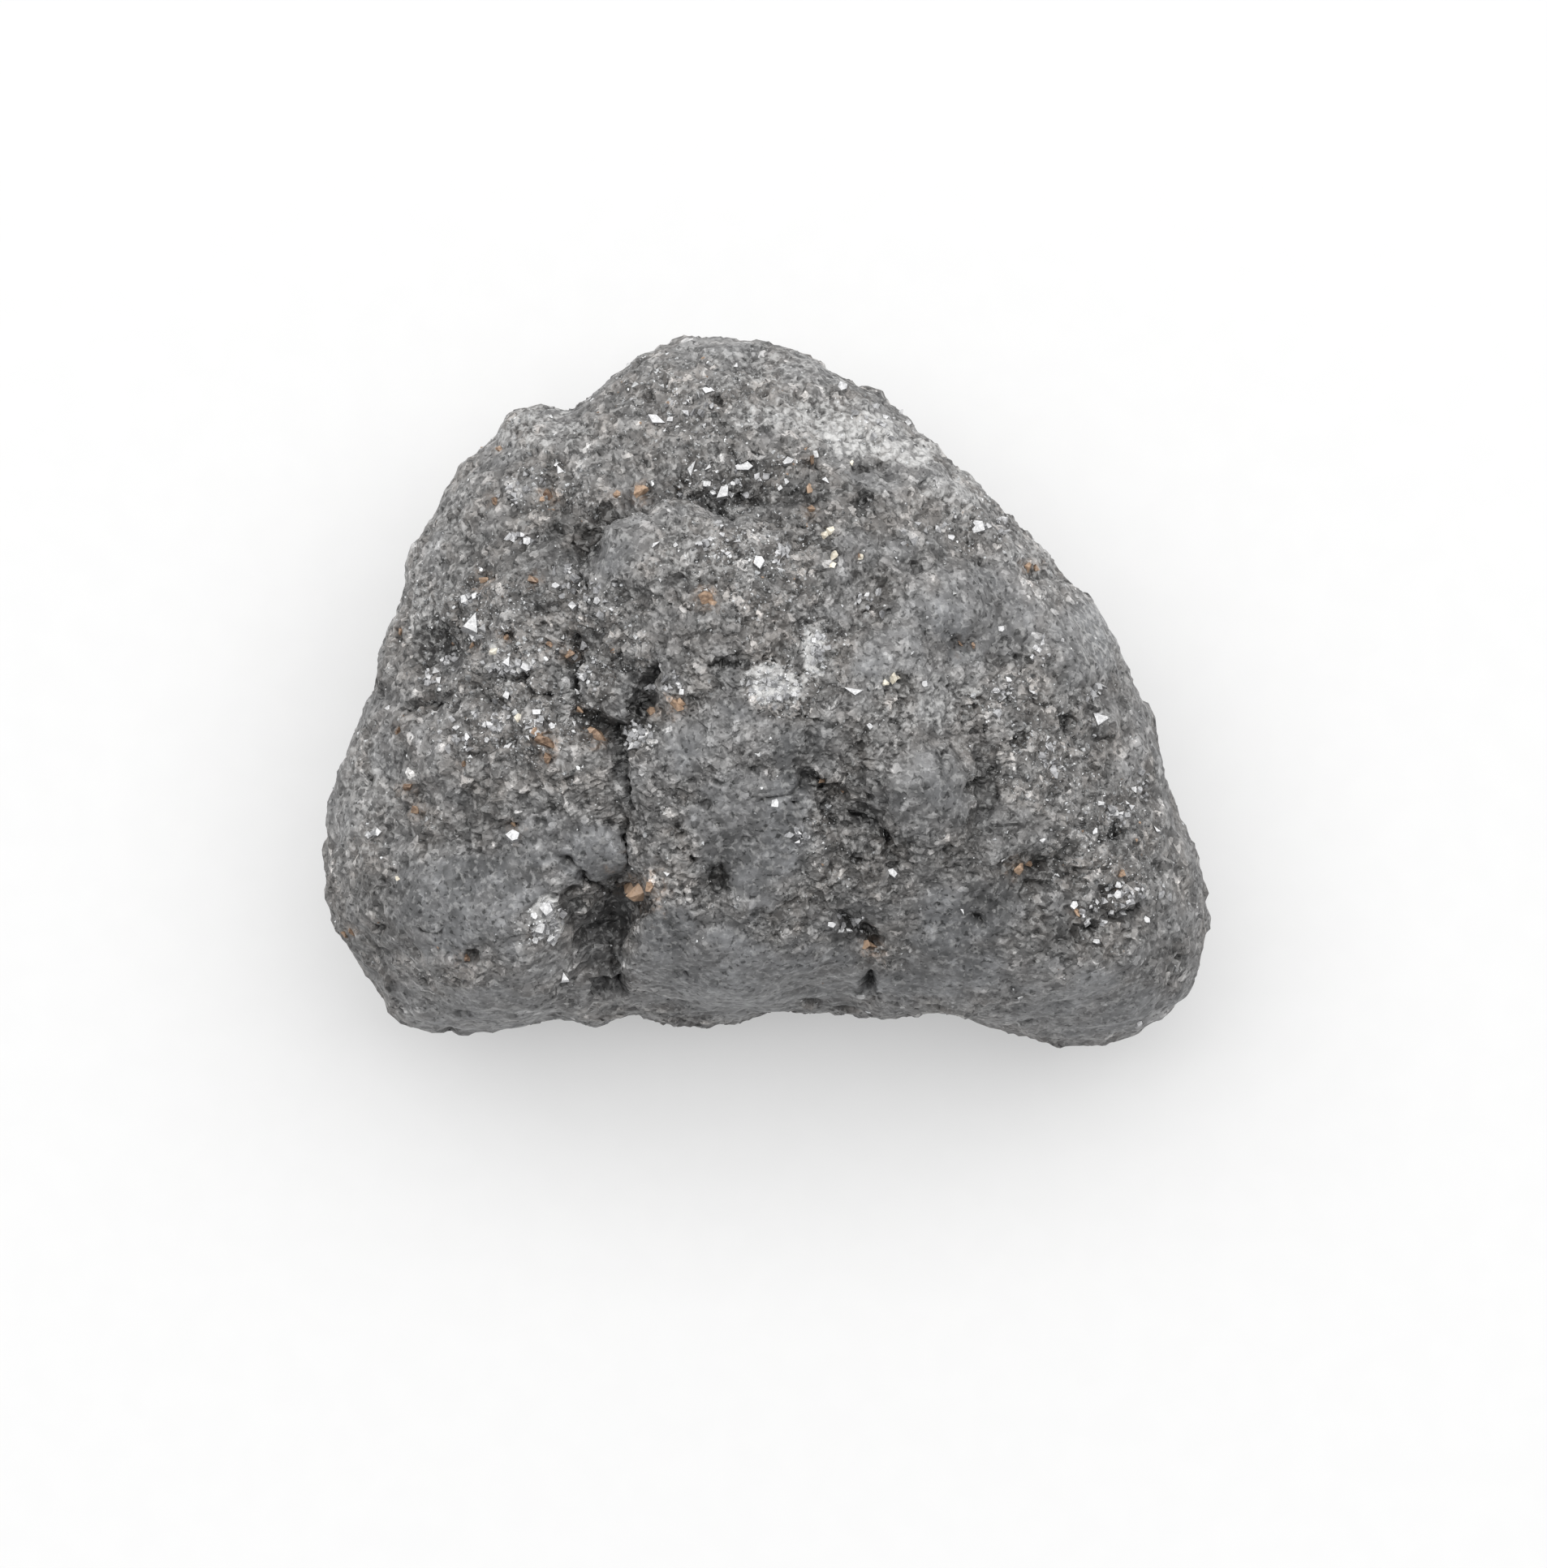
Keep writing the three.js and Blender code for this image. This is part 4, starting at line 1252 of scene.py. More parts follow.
@dataclass
class StoneMass(Piece):
    """The stone's whole mass, from its broad lobes down to its single grains."""

    name: str = "stone_mass"
    slot: Slot = Slot.STONE
    parts: int = 98
    crowding: float = 0.32
    smoothing: int = 26
    worn_below: float = 0.004
    rim_levels: Plan = (0.45, 0.95)
    seed: int = 11
    blotch_pitch: float = 0.8
    blotch_span: Plan = (-0.45, 0.25)
    plain_granular: float = 0.55
    blotch_granular: float = 0.45
    satin_granular: float = -0.80
    sparkle_granular: float = 0.5
    least_granular: float = 0.07
    glass_gloom: float = 0.75
    painted_shade_weight: float = 0.7
    halo: float = 0.06
    stained_size: Plan = (0.07, 0.12)
    stain_fray: float = 0.5
    stain_edge: Plan = (0.35, 1.0)
    rag_pitch: float = 0.22
    break_pitch: float = 0.34
    snap: float = 0.03
    least_reach: float = 0.02
    cleft_bank: float = 0.03
    cut_lean: Triple = (0.0, 0.0, 0.6)
    rounding: Plan = (0.03, 0.12)
    upright_rough: float = 0.6
    crystal_beds: tuple[Triple, ...] = ((0.50, 0.040, 0.16), (0.30, 0.036, 0.26),
                                        (0.16, 0.026, 0.36))
    hole_share: float = 0.08
    hole_depth: float = 0.30
    hole_radius: float = 0.42
    smooth_holes: float = 0.4
    streak_pitch: float = 0.16
    streak_stretch: Triple = (1.6, 0.9, 0.9)
    streak_rise: float = 0.012
    crumble: float = 0.016
    cavity_depths: Plan = (0.06, 0.25)
    close_rounds: int = 14
    wide_rounds: int = 70
    wide_share: float = 0.7
    smooth_below: float = 0.45
    map_split: float = -0.45
    upper_sheet: Plan = (0.415, 1.02)
    lower_sheet: Plan = (0.165, 1.05)
    eye: Eye = Eye()

    def build(self, finish: StoneFinish) -> bpy.types.Object:
        """Draws the skin, creases and grains it, and dresses it.

        Args:
            finish: The mass's finish.

        Returns:
            The piece.
        """
        rays, faces = unit_ball(self.parts)
        rays = self._crowded(rays)
        self.skin = Skin(self._cast(rays), faces)
        self._smooth()
        self._push_rim()
        broad = self.skin.points.copy()
        self._read_patches()
        self._swell()
        self._cleave()
        self._grain()
        mesh = solid_mesh(self.name, self.skin.points, faces)
        mesh.polygons.foreach_set("use_smooth", self._satin_faces())
        for name, values in (("granular", self.granular), ("cavity_shade", self._cavity_shade(broad)),
                             ("crease_shade", self._crease_shade()), ("crack", self.crack),
                             ("glass_and_painted_shade", self.glass_and_painted_shade), ("dust_and_highlight", self.dust_and_highlight),
                             ("stain", self.stain)):
            write_numbers(mesh, name, values, "POINT")
        write_map(mesh, self._map(rays, faces))
        piece = self.hung(mesh, finish.made())
        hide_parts(STONE_NODE)
        return piece

    def _crowded(self, rays: np.ndarray) -> np.ndarray:
        """Draws the rays together towards the crown, where most detail is."""
        polar = np.arccos(np.clip(rays[:, 2], -1.0, 1.0))
        polar = polar - self.crowding * np.sin(polar)
        level = unit(np.column_stack((rays[:, :2], np.zeros(len(rays)))))
        return np.column_stack((level[:, :2] * np.sin(polar)[:, None], np.cos(polar)))

    def _cast(self, rays: np.ndarray) -> np.ndarray:
        """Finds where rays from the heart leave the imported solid.

        Args:
            rays: Rows of directions.

        Returns:
            Rows of points in millimetres.
        """
        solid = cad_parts[STONE_NODE].data
        corners = [corner.co / METRES for corner in solid.vertices]
        tree = BVHTree.FromPolygons(corners, [tuple(side.vertices) for side in solid.polygons])
        heart = Vector(HEART)
        return np.array([tree.ray_cast(heart, Vector(ray))[0] for ray in rays])

    def _smooth(self) -> None:
        """Takes the solid's flat facets out of the skin, and keeps its worn flat level."""
        skin = self.skin
        self.worn = skin.points[:, 2] < self.worn_below
        skin.points = skin.calmed(skin.points, self.smoothing)
        skin.points[self.worn, 2] = 0.0

    def _push_rim(self) -> None:
        """Gives the outline its notches and bumps, by moving the steep sides in or out."""
        skin = self.skin
        out = skin.points[:, :2] - RIM_CENTRE
        bearings = np.degrees(np.arctan2(out[:, 1], out[:, 0]))
        reach = sum(push.reach(bearings) for push in RIM_PUSHES)
        steep = 1.0 - eased(np.abs(skin.normals()[:, 2]), *self.rim_levels)
        skin.points[:, :2] += unit(out) * (reach * steep * ~self.worn)[:, None]

    def _read_patches(self) -> None:
        """Works out which finish each point has."""
        places = self.skin.points
        plan = self.eye.seen(places)
        above = eased(places[:, 2], *SHOULDER)
        ragged = layered(BROAD_FRAY, self.seed, places)
        frayed = ragged + layered(FINE_FRAY, self.seed, places)
        self.satin = above * covered(SATIN, plan, ragged)
        self.sparkle = above * covered(SPARKLING, plan, ragged)
        self.glass = above * covered(DARK_GLASS, plan, ragged)
        self.dust_and_highlight = above * covered(PALE_DUST_AND_HIGHLIGHTS, plan, frayed)
        # Painted shade over dark zones, with the real darkness of dark glass; pockets add their painted
        # shade later.
        painted_shade_cover = covered(PAINTED_SHADE, plan, ragged)
        self.glass_and_painted_shade = above * np.maximum(self.glass_gloom * self.glass, self.painted_shade_weight * painted_shade_cover)
        self.stain = above * self._stained(plan, frayed)
        blotches = eased(Swell(self.blotch_pitch, self.seed + 2).at(places), *self.blotch_span)
        granular = (self.plain_granular + self.blotch_granular * blotches
                    + self.satin_granular * self.satin + self.sparkle_granular * self.sparkle)
        self.granular = np.clip(granular, self.least_granular, 1.0)

    def _stained(self, plan: np.ndarray, frayed: np.ndarray) -> np.ndarray:
        """Finds how stained the stone is about each rust grain.

        Args:
            plan: The points' places in plan.
            frayed: A ragged noise of about -1 to 1 at each point.

        Returns:
            Shares from 0 to 1.
        """
        stain = np.zeros(len(plan))
        least, rise = self.stained_size
        for x, y, size in RUST_GRAINS:
            away = np.hypot(plan[:, 0] - x, plan[:, 1] - y) / (size + self.halo)
            share = min(1.0, (size - least) / rise)
            near = 1.0 - eased(away * (1.0 + self.stain_fray * frayed), *self.stain_edge)
            stain = np.maximum(stain, share * near)
        return stain

    def _swell(self) -> None:
        """Raises the knolls of the upper side and sinks its dells."""
        skin = self.skin
        plan = self.eye.seen(skin.points)
        lift = sum(mound.lift(plan) for mound in MOUNDS.values())
        above = eased(skin.points[:, 2], *SHOULDER)
        skin.points = skin.points + skin.normals() * (lift * above)[:, None]

    def _cleave(self) -> None:
        """Cuts the clefts, pits and pockets into the upper side, and softens the pockets' walls."""
        skin = self.skin
        top = np.flatnonzero(skin.points[:, 2] > SHOULDER[0])
        places = skin.points[top]
        ragged = Swell(self.rag_pitch, self.seed + 3).at(places)
        broken = Swell(self.break_pitch, self.seed + 10).at(places)
        wander = np.column_stack([layered(WANDER, self.seed + axis, places) for axis in range(2)])
        plan = self.eye.seen(places) + wander
        self.crack = np.full(len(skin.points), 1.0)
        sunk = self._cleft_depths(top, plan, ragged, broken)
        for pit in PITS:
            sunk = np.maximum(sunk, pit.sunk(plan, ragged))
        sunk, hollow = self._pocket_depths(top, plan, ragged, sunk)
        down = unit(skin.normals()[top] + self.cut_lean)
        skin.points[top] -= sunk[:, None] * down
        softened = eased(hollow, *self.rounding)[:, None]
        skin.points += softened * (skin.calmed(skin.points, 2) - skin.points)

    def _cleft_depths(self, top: np.ndarray, plan: np.ndarray, ragged: np.ndarray,
                      broken: np.ndarray) -> np.ndarray:
        """Draws the points nearest each cleft onto its route, and finds how deep it is cut.

        It also writes how far each point is from the nearest crack, which the finish paints as a dark
        line of shade.

        Args:
            top: The numbers of the upper side's points.
            plan: Their places in plan, which follow the points that are drawn.
            ragged: A random height for each point, which frays the clefts' edges.
            broken: A random height for each point, which breaks the clefts into stretches.

        Returns:
            Depths in millimetres.
        """
        skin = self.skin
        sunk = np.zeros(len(top))
        for cleft in CLEFTS.values():
            gap, spot, share = cleft.across(plan)
            near = gap < self.snap
            skin.points[top[near], :2] += spot[near] - plan[near]
            plan[near] = spot[near]
            gap = np.where(near, 0.0, gap)
            taper = eased(share, *CLEFT_START) * (1.0 - eased(share, *CLEFT_END))
            taper = taper * np.clip(CLEFT_EVENNESS + CLEFT_BREAKS * broken, *CLEFT_LIMITS)
            reach = np.maximum(0.5 * cleft.width * (1.0 + CLEFT_FRAY * ragged), self.least_reach)
            fall = np.clip(1.0 - gap / (reach + self.cleft_bank), 0.0, 1.0) ** CLEFT_WALL
            sunk = np.maximum(sunk, cleft.depth * taper * fall)
            edge = gap + CRACK_FADE * (1.0 - np.minimum(taper, 1.0))
            self.crack[top] = np.minimum(self.crack[top], edge)
        return sunk

    def _pocket_depths(self, top: np.ndarray, plan: np.ndarray, ragged: np.ndarray,
                       sunk: np.ndarray) -> tuple[np.ndarray, np.ndarray]:
        """Adds the pockets and blocks to the depths, paints shade in the pockets and paints the blocks
        lighter.

        Args:
            top: The numbers of the upper side's points.
            plan: Their places in plan.
            ragged: A random height for each point, which makes the floors uneven.
            sunk: How deep the upper side's points are cut so far.

        Returns:
            The upper side's depths in millimetres, and how hollow each of the skin's points is.
        """
        hollow = np.zeros(len(self.skin.points))
        for pocket in POCKETS.values():
            if pocket.depth > 0.0:
                sunk = np.maximum(sunk, pocket.sunk(plan) * (1.0 + POCKET_FRAY * ragged))
                hollow[top] = np.maximum(hollow[top], pocket.sunk(plan))
                self.glass_and_painted_shade[top] = np.maximum(self.glass_and_painted_shade[top], pocket.shade(plan))
            else:
                sunk += pocket.sunk(plan)
                hollow[top] += 2.0 * pocket.sunk(plan)
                self.glass_and_painted_shade[top] += pocket.shade(plan)
        self.glass_and_painted_shade = np.clip(self.glass_and_painted_shade, 0.0, 1.0)
        return sunk, hollow

    def _grain(self) -> None:
        """Raises broken crystal faces where the stone is granular, and faint ripples elsewhere."""
        skin = self.skin
        places = skin.points
        normals = skin.normals()
        turned = eased(np.abs(normals[:, 2]), *LEVEL_SPAN)
        rough = self.granular * (self.upright_rough + (1.0 - self.upright_rough) * turned)
        rise = layered(RIPPLES, self.seed, places)
        waver = np.column_stack([layered(WAVER, self.seed + axis, places) for axis in range(3)])
        for pitch, lift, slope in self.crystal_beds:
            offset, draws = Grains(pitch, self.seed + int(100 * pitch)).nearest(places + waver)
            lean = (draws[:, :3] - 0.5) * 2.0 * slope
            rise += rough * (lift * (draws[:, 3] - 0.5) + (lean * offset).sum(axis=1))
            away = np.linalg.norm(offset, axis=1) / (self.hole_radius * pitch)
            holed = np.clip(1.0 - away, 0.0, 1.0) * (draws[:, 3] < self.hole_share)
            granular = self.smooth_holes + (1.0 - self.smooth_holes) * rough
            rise -= self.hole_depth * pitch * holed * granular
        streaks = Swell(self.streak_pitch, self.seed + 7, self.streak_stretch).at(places)
        rise += self.streak_rise * (1.0 - rough) * streaks
        jitter = scrambled(np.round(places * JITTER_STEPS), self.seed + 8, 3) - 0.5
        jitter -= normals * (jitter * normals).sum(axis=1, keepdims=True)
        skin.points = places + normals * rise[:, None] + self.crumble * rough[:, None] * jitter
        skin.points[self.worn] = places[self.worn]
        skin.points[:, 2] = np.maximum(skin.points[:, 2], 0.0)

    def _cavity_shade(self, broad: np.ndarray) -> np.ndarray:
        """Finds how far each point lies below the broad form around it, for painted shade in hollows.

        Args:
            broad: The points before they were cleft and grained.

        Returns:
            Shares from 0 to 1.
        """
        skin = self.skin
        fall = ((broad - skin.points) * skin.normals()).sum(axis=1)
        shallow, span = self.cavity_depths
        return np.clip((skin.calmed(fall, 2) - shallow) / span, 0.0, 1.0)

    def _crease_shade(self) -> np.ndarray:
        """Finds how far each point lies below its surroundings in millimetres, for painted shade and
        light.
        """
        skin = self.skin
        close = skin.calmed(skin.points, self.close_rounds)
        wide = skin.calmed(close, self.wide_rounds)
        away = close - skin.points + self.wide_share * (wide - close)
        return skin.calmed((away * skin.normals()).sum(axis=1), 1)

    def _satin_faces(self) -> np.ndarray:
        """Says which faces are smooth enough to be shaded as one with their neighbours."""
        return self.granular[self.skin.faces].mean(axis=1) < self.smooth_below

    def _map(self, rays: np.ndarray, faces: np.ndarray) -> np.ndarray:
        """Lays the skin out as one round sheet for all but its underside, and one for that.

        Args:
            rays: Each point's direction from the heart.
            faces: Rows of three point numbers.

        Returns:
            U and V for each face corner.
        """
        sheet, upper_margin = self.upper_sheet
        patch, lower_margin = self.lower_sheet
        below = rays[faces].mean(axis=1)[:, 2] < self.map_split
        level = unit(np.column_stack((rays[:, :2], np.zeros(len(rays)))))[:, :2]
        height = np.clip(rays[:, 2], -1.0, 1.0)
        widest = math.sqrt((1.0 - self.map_split) / 2.0) * upper_margin
        shortest = math.sqrt((1.0 + self.map_split) / 2.0) * lower_margin
        upper = level * (np.sqrt((1.0 - height) / 2.0) / widest * sheet)[:, None] + sheet
        lower = level * (np.sqrt((1.0 + height) / 2.0) / shortest * patch)[:, None] + 1.0 - patch
        return np.where(below[:, None, None], lower[faces], upper[faces])


@dataclass(frozen=True)
class Shape:
    """One grain shape of about unit size: points, triangles and a map of two halves side by side."""

    points: np.ndarray
    faces: np.ndarray
    corners: np.ndarray

    @classmethod
    def around(cls, cloud: np.ndarray) -> "Shape":
        """Wraps a cloud of points in flat faces.

        Args:
            cloud: Rows of points about the origin.

        Returns:
            The closed shape.
        """
        block = bmesh.new()
        for spot in cloud:
            block.verts.new(spot)
        hull = bmesh.ops.convex_hull(block, input=list(block.verts))
        inside = {item for item in hull["geom_interior"] + hull["geom_unused"]
                  if isinstance(item, bmesh.types.BMVert)}
        bmesh.ops.delete(block, geom=list(inside), context="VERTS")
        bmesh.ops.triangulate(block, faces=list(block.faces))
        bmesh.ops.recalc_face_normals(block, faces=list(block.faces))
        block.verts.index_update()
        points = np.array([spot.co[:] for spot in block.verts])
        faces = np.array([[spot.index for spot in side.verts] for side in block.faces])
        block.free()
        return cls(points, faces, cls._halves(points, faces))

    @staticmethod
    def _halves(points: np.ndarray, faces: np.ndarray) -> np.ndarray:
        """Maps the faces that look up and those that look down side by side."""
        first, second, third = (points[faces[:, k]] for k in range(3))
        down = np.cross(second - first, third - first)[:, 2] < 0.0
        flat = points[:, :2] - points[:, :2].min(axis=0)
        flat = flat / flat.max() * HALF_MAP + HALF_MARGIN
        corners = flat[faces]
        corners[down] += SECOND_HALF
        return corners


def broken_crystals(kinds: int, spots: int, seed: int) -> list[Shape]:
    """Makes irregular broken grains, each wrapped about a few random points.

    Args:
        kinds: How many shapes.
        spots: How many points each is wrapped about.
        seed: Chooses the points.

    Returns:
        The shapes.
    """
    draw = np.random.default_rng(seed)
    shapes = []
    for _ in range(kinds):
        cloud = unit(draw.normal(size=(spots, 3))) * draw.uniform(*CHIPPING, (spots, 1))
        shapes.append(Shape.around(0.5 * cloud * draw.uniform(*LENGTHENING, 3)))
    return shapes


def random_turns(count: int, draw: np.random.Generator) -> np.ndarray:
    """Draws turns that favour no direction.

    Args:
        count: How many.
        draw: Where the numbers come from.

    Returns:
        One 3 by 3 turn for each.
    """
    w, x, y, z = unit(draw.normal(size=(count, 4))).T
    rows = [1 - 2 * (y * y + z * z), 2 * (x * y - z * w), 2 * (x * z + y * w),
            2 * (x * y + z * w), 1 - 2 * (x * x + z * z), 2 * (y * z - x * w),
            2 * (x * z - y * w), 2 * (y * z + x * w), 1 - 2 * (x * x + y * y)]
    return np.stack(rows, axis=1).reshape(-1, 3, 3)


class GrainSet(Piece):
    """Many small solids joined in one mesh."""

    def joined(self, shapes: list[Shape], kinds: np.ndarray, turns: np.ndarray,
               sizes: np.ndarray, middles: np.ndarray, tones: np.ndarray,
               draw: np.random.Generator, flicker: float) -> bpy.types.Mesh:
        """Sets one shape at each place, and joins them all.

        Args:
            shapes: The shapes to choose from.
            kinds: Which shape each grain has.
            turns: How each grain is turned.
            sizes: Each grain's size in millimetres.
            middles: Where each grain is.
            tones: Each grain's level, from 0 to 1.
            draw: Where the faces' own differences come from.
            flicker: How much the levels of one grain's faces differ.

        Returns:
            The mesh, in metres.
        """
        cells = math.ceil(math.sqrt(len(kinds)))
        points, faces, corners, levels, count = [], [], [], [], 0
        for kind, shape in enumerate(shapes):
            chosen = np.flatnonzero(kinds == kind)
            if not len(chosen):
                continue
            local = shape.points[None] * sizes[chosen, None, None]
            turned = local @ turns[chosen].transpose(0, 2, 1) + middles[chosen, None, :]
            points.append(turned.reshape(-1, 3))
            first = count + np.arange(len(chosen)) * len(shape.points)
            faces.append((shape.faces[None] + first[:, None, None]).reshape(-1, 3))
            cell = np.stack((chosen % cells, chosen // cells), axis=1)
            corners.append((shape.corners[None] + cell[:, None, None, :]).reshape(-1, 3, 2) / cells)
            own = tones[chosen, None] + draw.uniform(-flicker, flicker, (len(chosen), len(shape.faces)))
            levels.append(np.clip(own, 0.0, 1.0).reshape(-1))
            count += len(chosen) * len(shape.points)
        mesh = solid_mesh(self.name, np.concatenate(points), np.concatenate(faces))
        write_numbers(mesh, "tone", np.concatenate(levels), "FACE")
        write_map(mesh, np.concatenate(corners))
        return mesh


@dataclass
class StrewnGrains(GrainSet):
    """Grains strewn over the whole stone and half sunk in it."""

    name: str
    slot: Slot
    count: int
    sizes: Plan
    spots: int
    seed: int
    sunk: Plan
    tone: Plan
    evenness: float = 0.35
    sparkle: float = 0.0
    dust_and_highlight: float = 0.0
    clumping: float = 1.5
    upright_share: float = 0.2
    floor_fade: Plan = (0.03, 0.3)
    smallness: float = 1.6
    above_floor: float = 0.6
    glass_share: float = 0.85
    glass_tone: float = 0.02
    glass_and_shade_fade: float = 0.6
    dust_and_highlight_tones: Plan = (0.5, 1.0)
    kinds: int = 24
    flicker: float = 0.06

    def build(self, mass: StoneMass, finish: GrainFinish) -> bpy.types.Object:
        """Strews the grains, most thickly where the stone is granular.

        Args:
            mass: The stone that they sit in.
            finish: Their finish.

        Returns:
            The piece.
        """
        draw = np.random.default_rng(self.seed)
        skin = mass.skin
        chosen = self._faces(mass, draw)
        corners = skin.faces[chosen]
        share = draw.dirichlet((1.0, 1.0, 1.0), self.count)
        places = (skin.points[corners] * share[:, :, None]).sum(axis=1)
        least, most = self.sizes
        sizes = least * (most / least) ** (draw.random(self.count) ** self.smallness)
        depth = draw.uniform(*self.sunk, self.count) * sizes
        middles = places - skin.normals()[corners[:, 0]] * depth[:, None]
        middles[:, 2] = np.maximum(middles[:, 2], self.above_floor * sizes)
        glass, dust_and_highlight, glass_and_painted_shade = (values[corners].mean(axis=1)
                              for values in (mass.glass, mass.dust_and_highlight, mass.glass_and_painted_shade))
        tones = draw.beta(*self.tone, self.count)
        # Grains in dark glass take its tone; the rest are darkened by dark glass and painted shade.
        dark = draw.random(self.count) < self.glass_share * glass
        tones = np.where(dark, self.glass_tone, tones * (1.0 - self.glass_and_shade_fade * glass_and_painted_shade))
        # Grains under pale dust and painted highlight are lightened.
        dusted_and_highlighted = self.dust_and_highlight * dust_and_highlight * draw.uniform(*self.dust_and_highlight_tones, self.count)
        tones = np.maximum(tones, dusted_and_highlighted)
        shapes = broken_crystals(self.kinds, self.spots, self.seed + 1)
        kinds = draw.integers(len(shapes), size=self.count)
        turns = random_turns(self.count, draw)
        mesh = self.joined(shapes, kinds, turns, sizes, middles, tones, draw, self.flicker)
        return self.hung(mesh, finish.made())

    def _faces(self, mass: StoneMass, draw: np.random.Generator) -> np.ndarray:
        """Draws the stone's triangle that each grain sits on.

        Args:
            mass: The stone.
            draw: Where the numbers come from.

        Returns:
            Triangle numbers.
        """
        faces = mass.skin.faces
        granular, sparkle, dust_and_highlight = (values[faces].mean(axis=1)
                                   for values in (mass.granular, mass.sparkle, mass.dust_and_highlight))
        wanted = granular ** self.clumping * (self.evenness + self.sparkle * sparkle)
        wanted = wanted + self.dust_and_highlight * dust_and_highlight
        middle_z = mass.skin.points[faces][:, :, 2].mean(axis=1)
        facing = mass.skin.face_normals()
        area = np.linalg.norm(facing, axis=1)
        level = eased(np.abs(facing[:, 2]) / area, *LEVEL_SPAN)
        turned = self.upright_share + (1.0 - self.upright_share) * level
        weight = area * wanted * turned * eased(middle_z, *self.floor_fade)
        return draw.choice(len(weight), self.count, p=weight / weight.sum())


@dataclass
class PlacedGrains(GrainSet):
    """Grains set at chosen places on the upper side, such as the brightest crystal faces."""

    name: str
    slot: Slot
    places: tuple[Facet, ...]
    seed: int
    tone: Plan
    raised: float
    eye: Eye
    shine: np.ndarray | None = None
    spread: float = 0.07
    plumpness: float = 1.0
    flicker: float = 0.08
    kinds: int = 12
    corners: int = 12
    slope_lift: float = 0.4
    slope_gain: float = 2.3
    steepest: float = 0.7
    slope_rounds: int = 6
    plate_kinds: int = 18
    plate_sides: tuple[int, int] = (3, 6)
    plate_unevenness: float = 0.8
    plate_reach: Plan = (0.28, 0.70)
    plate_bumps: float = 0.03
    foot_spread: Triple = (1.15, 1.15, 0.0)
    foot_drop: Triple = (0.0, 0.0, 0.7)

    def build(self, mass: StoneMass, finish: GrainFinish) -> bpy.types.Object:
        """Sets each grain on the stone where the eye sees its place in plan.

        Args:
            mass: The stone that they sit in.
            finish: Their finish.

        Returns:
            The piece.
        """
        draw = np.random.default_rng(self.seed)
        spots = np.array(self.places)
        count = len(spots)
        sizes = spots[:, 2] * self.plumpness
        if self.shine is None:
            shapes = broken_crystals(self.kinds, self.corners, self.seed + 1)
            turns = random_turns(count, draw)
        else:
            shapes = self._plates(draw)
            turns = self._facing(count, draw)
        ground, fall = self._ground(mass, spots[:, :2])
        raised = self.raised + (0.0 if self.shine is None else self.slope_lift * fall)
        middles = ground + (0.0, 0.0, 1.0) * (raised * sizes)[:, None]
        kinds = draw.integers(len(shapes), size=count)
        tones = draw.uniform(*self.tone, count)
        mesh = self.joined(shapes, kinds, turns, sizes, middles, tones, draw, self.flicker)
        return self.hung(mesh, finish.made())

    def _ground(self, mass: StoneMass, spots: np.ndarray) -> tuple[np.ndarray, np.ndarray]:
        """Finds where the eye's lines of sight through places in plan meet the stone.

        Args:
            mass: The stone.
            spots: Rows of X and Y in millimetres.

        Returns:
            The points met, and how steep the broad form is there, from 0 to about 1.
        """
        skin = mass.skin
        tree = BVHTree.FromPolygons(skin.points.tolist(), skin.faces.tolist())
        start = Vector(self.eye.place)
        places = []
        slopes = []
        level = np.abs(skin.calmed(skin.normals(), self.slope_rounds)[:, 2])
        for x, y in spots:
            target = Vector((x, y, self.eye.girth))
            struck, _, face, _ = tree.ray_cast(start, target - start)
            if struck is None:
                struck, _, face, _ = tree.find_nearest(target)
            places.append(struck)
            slopes.append(1.0 / max(level[skin.faces[face]].mean(), self.steepest) - 1.0)
        return np.array(places), self.slope_gain * np.array(slopes)

    def _plates(self, draw: np.random.Generator) -> list[Shape]:
        """Makes crystals with one broad flat face on top and a broken foot below."""
        shapes = []
        for _ in range(self.plate_kinds):
            sides = int(draw.integers(*self.plate_sides))
            steps = draw.uniform(0.0, self.plate_unevenness, sides) + np.arange(sides)
            angle = np.sort(steps) / sides * math.tau
            reach = draw.uniform(*self.plate_reach, sides)
            bumps = draw.normal(scale=self.plate_bumps, size=sides)
            top = np.column_stack((reach * np.cos(angle), reach * np.sin(angle), bumps))
            foot = top * self.foot_spread - self.foot_drop
            shapes.append(Shape.around(np.concatenate((top, foot))))
        return shapes

    def _facing(self, count: int, draw: np.random.Generator) -> np.ndarray:
        """Turns flat tops to within a few degrees of the shine, each spun at random."""
        up = unit(self.shine + draw.normal(scale=self.spread, size=(count, 3)))
        spin = unit(draw.normal(size=(count, 3)))
        side = unit(spin - up * (spin * up).sum(axis=1, keepdims=True))
        return np.stack((side, np.cross(up, side), up), axis=2)


def clustered(clusters: tuple[Cluster, ...], sizes: Plan, richness: float,
              seed: int) -> tuple[Facet, ...]:
    """Scatters small crystals about the middles of clusters.

    Args:
        clusters: Each cluster's middle and spread in plan, and how many crystals it has.
        sizes: The smallest and largest crystal in millimetres.
        richness: How many times the stated number each cluster gets.
        seed: Chooses the places.

    Returns:
        Each crystal's place in plan and its size.
    """
    draw = np.random.default_rng(seed)
    grains = []
    for x, y, wide, deep, number in clusters:
        count = round(richness * number)
        across = draw.normal(scale=CLUSTER_SPREAD, size=(count, 2)) * (wide, deep) + (x, y)
        grains.extend(zip(*across.T, draw.uniform(*sizes, count)))
    return tuple(grains)


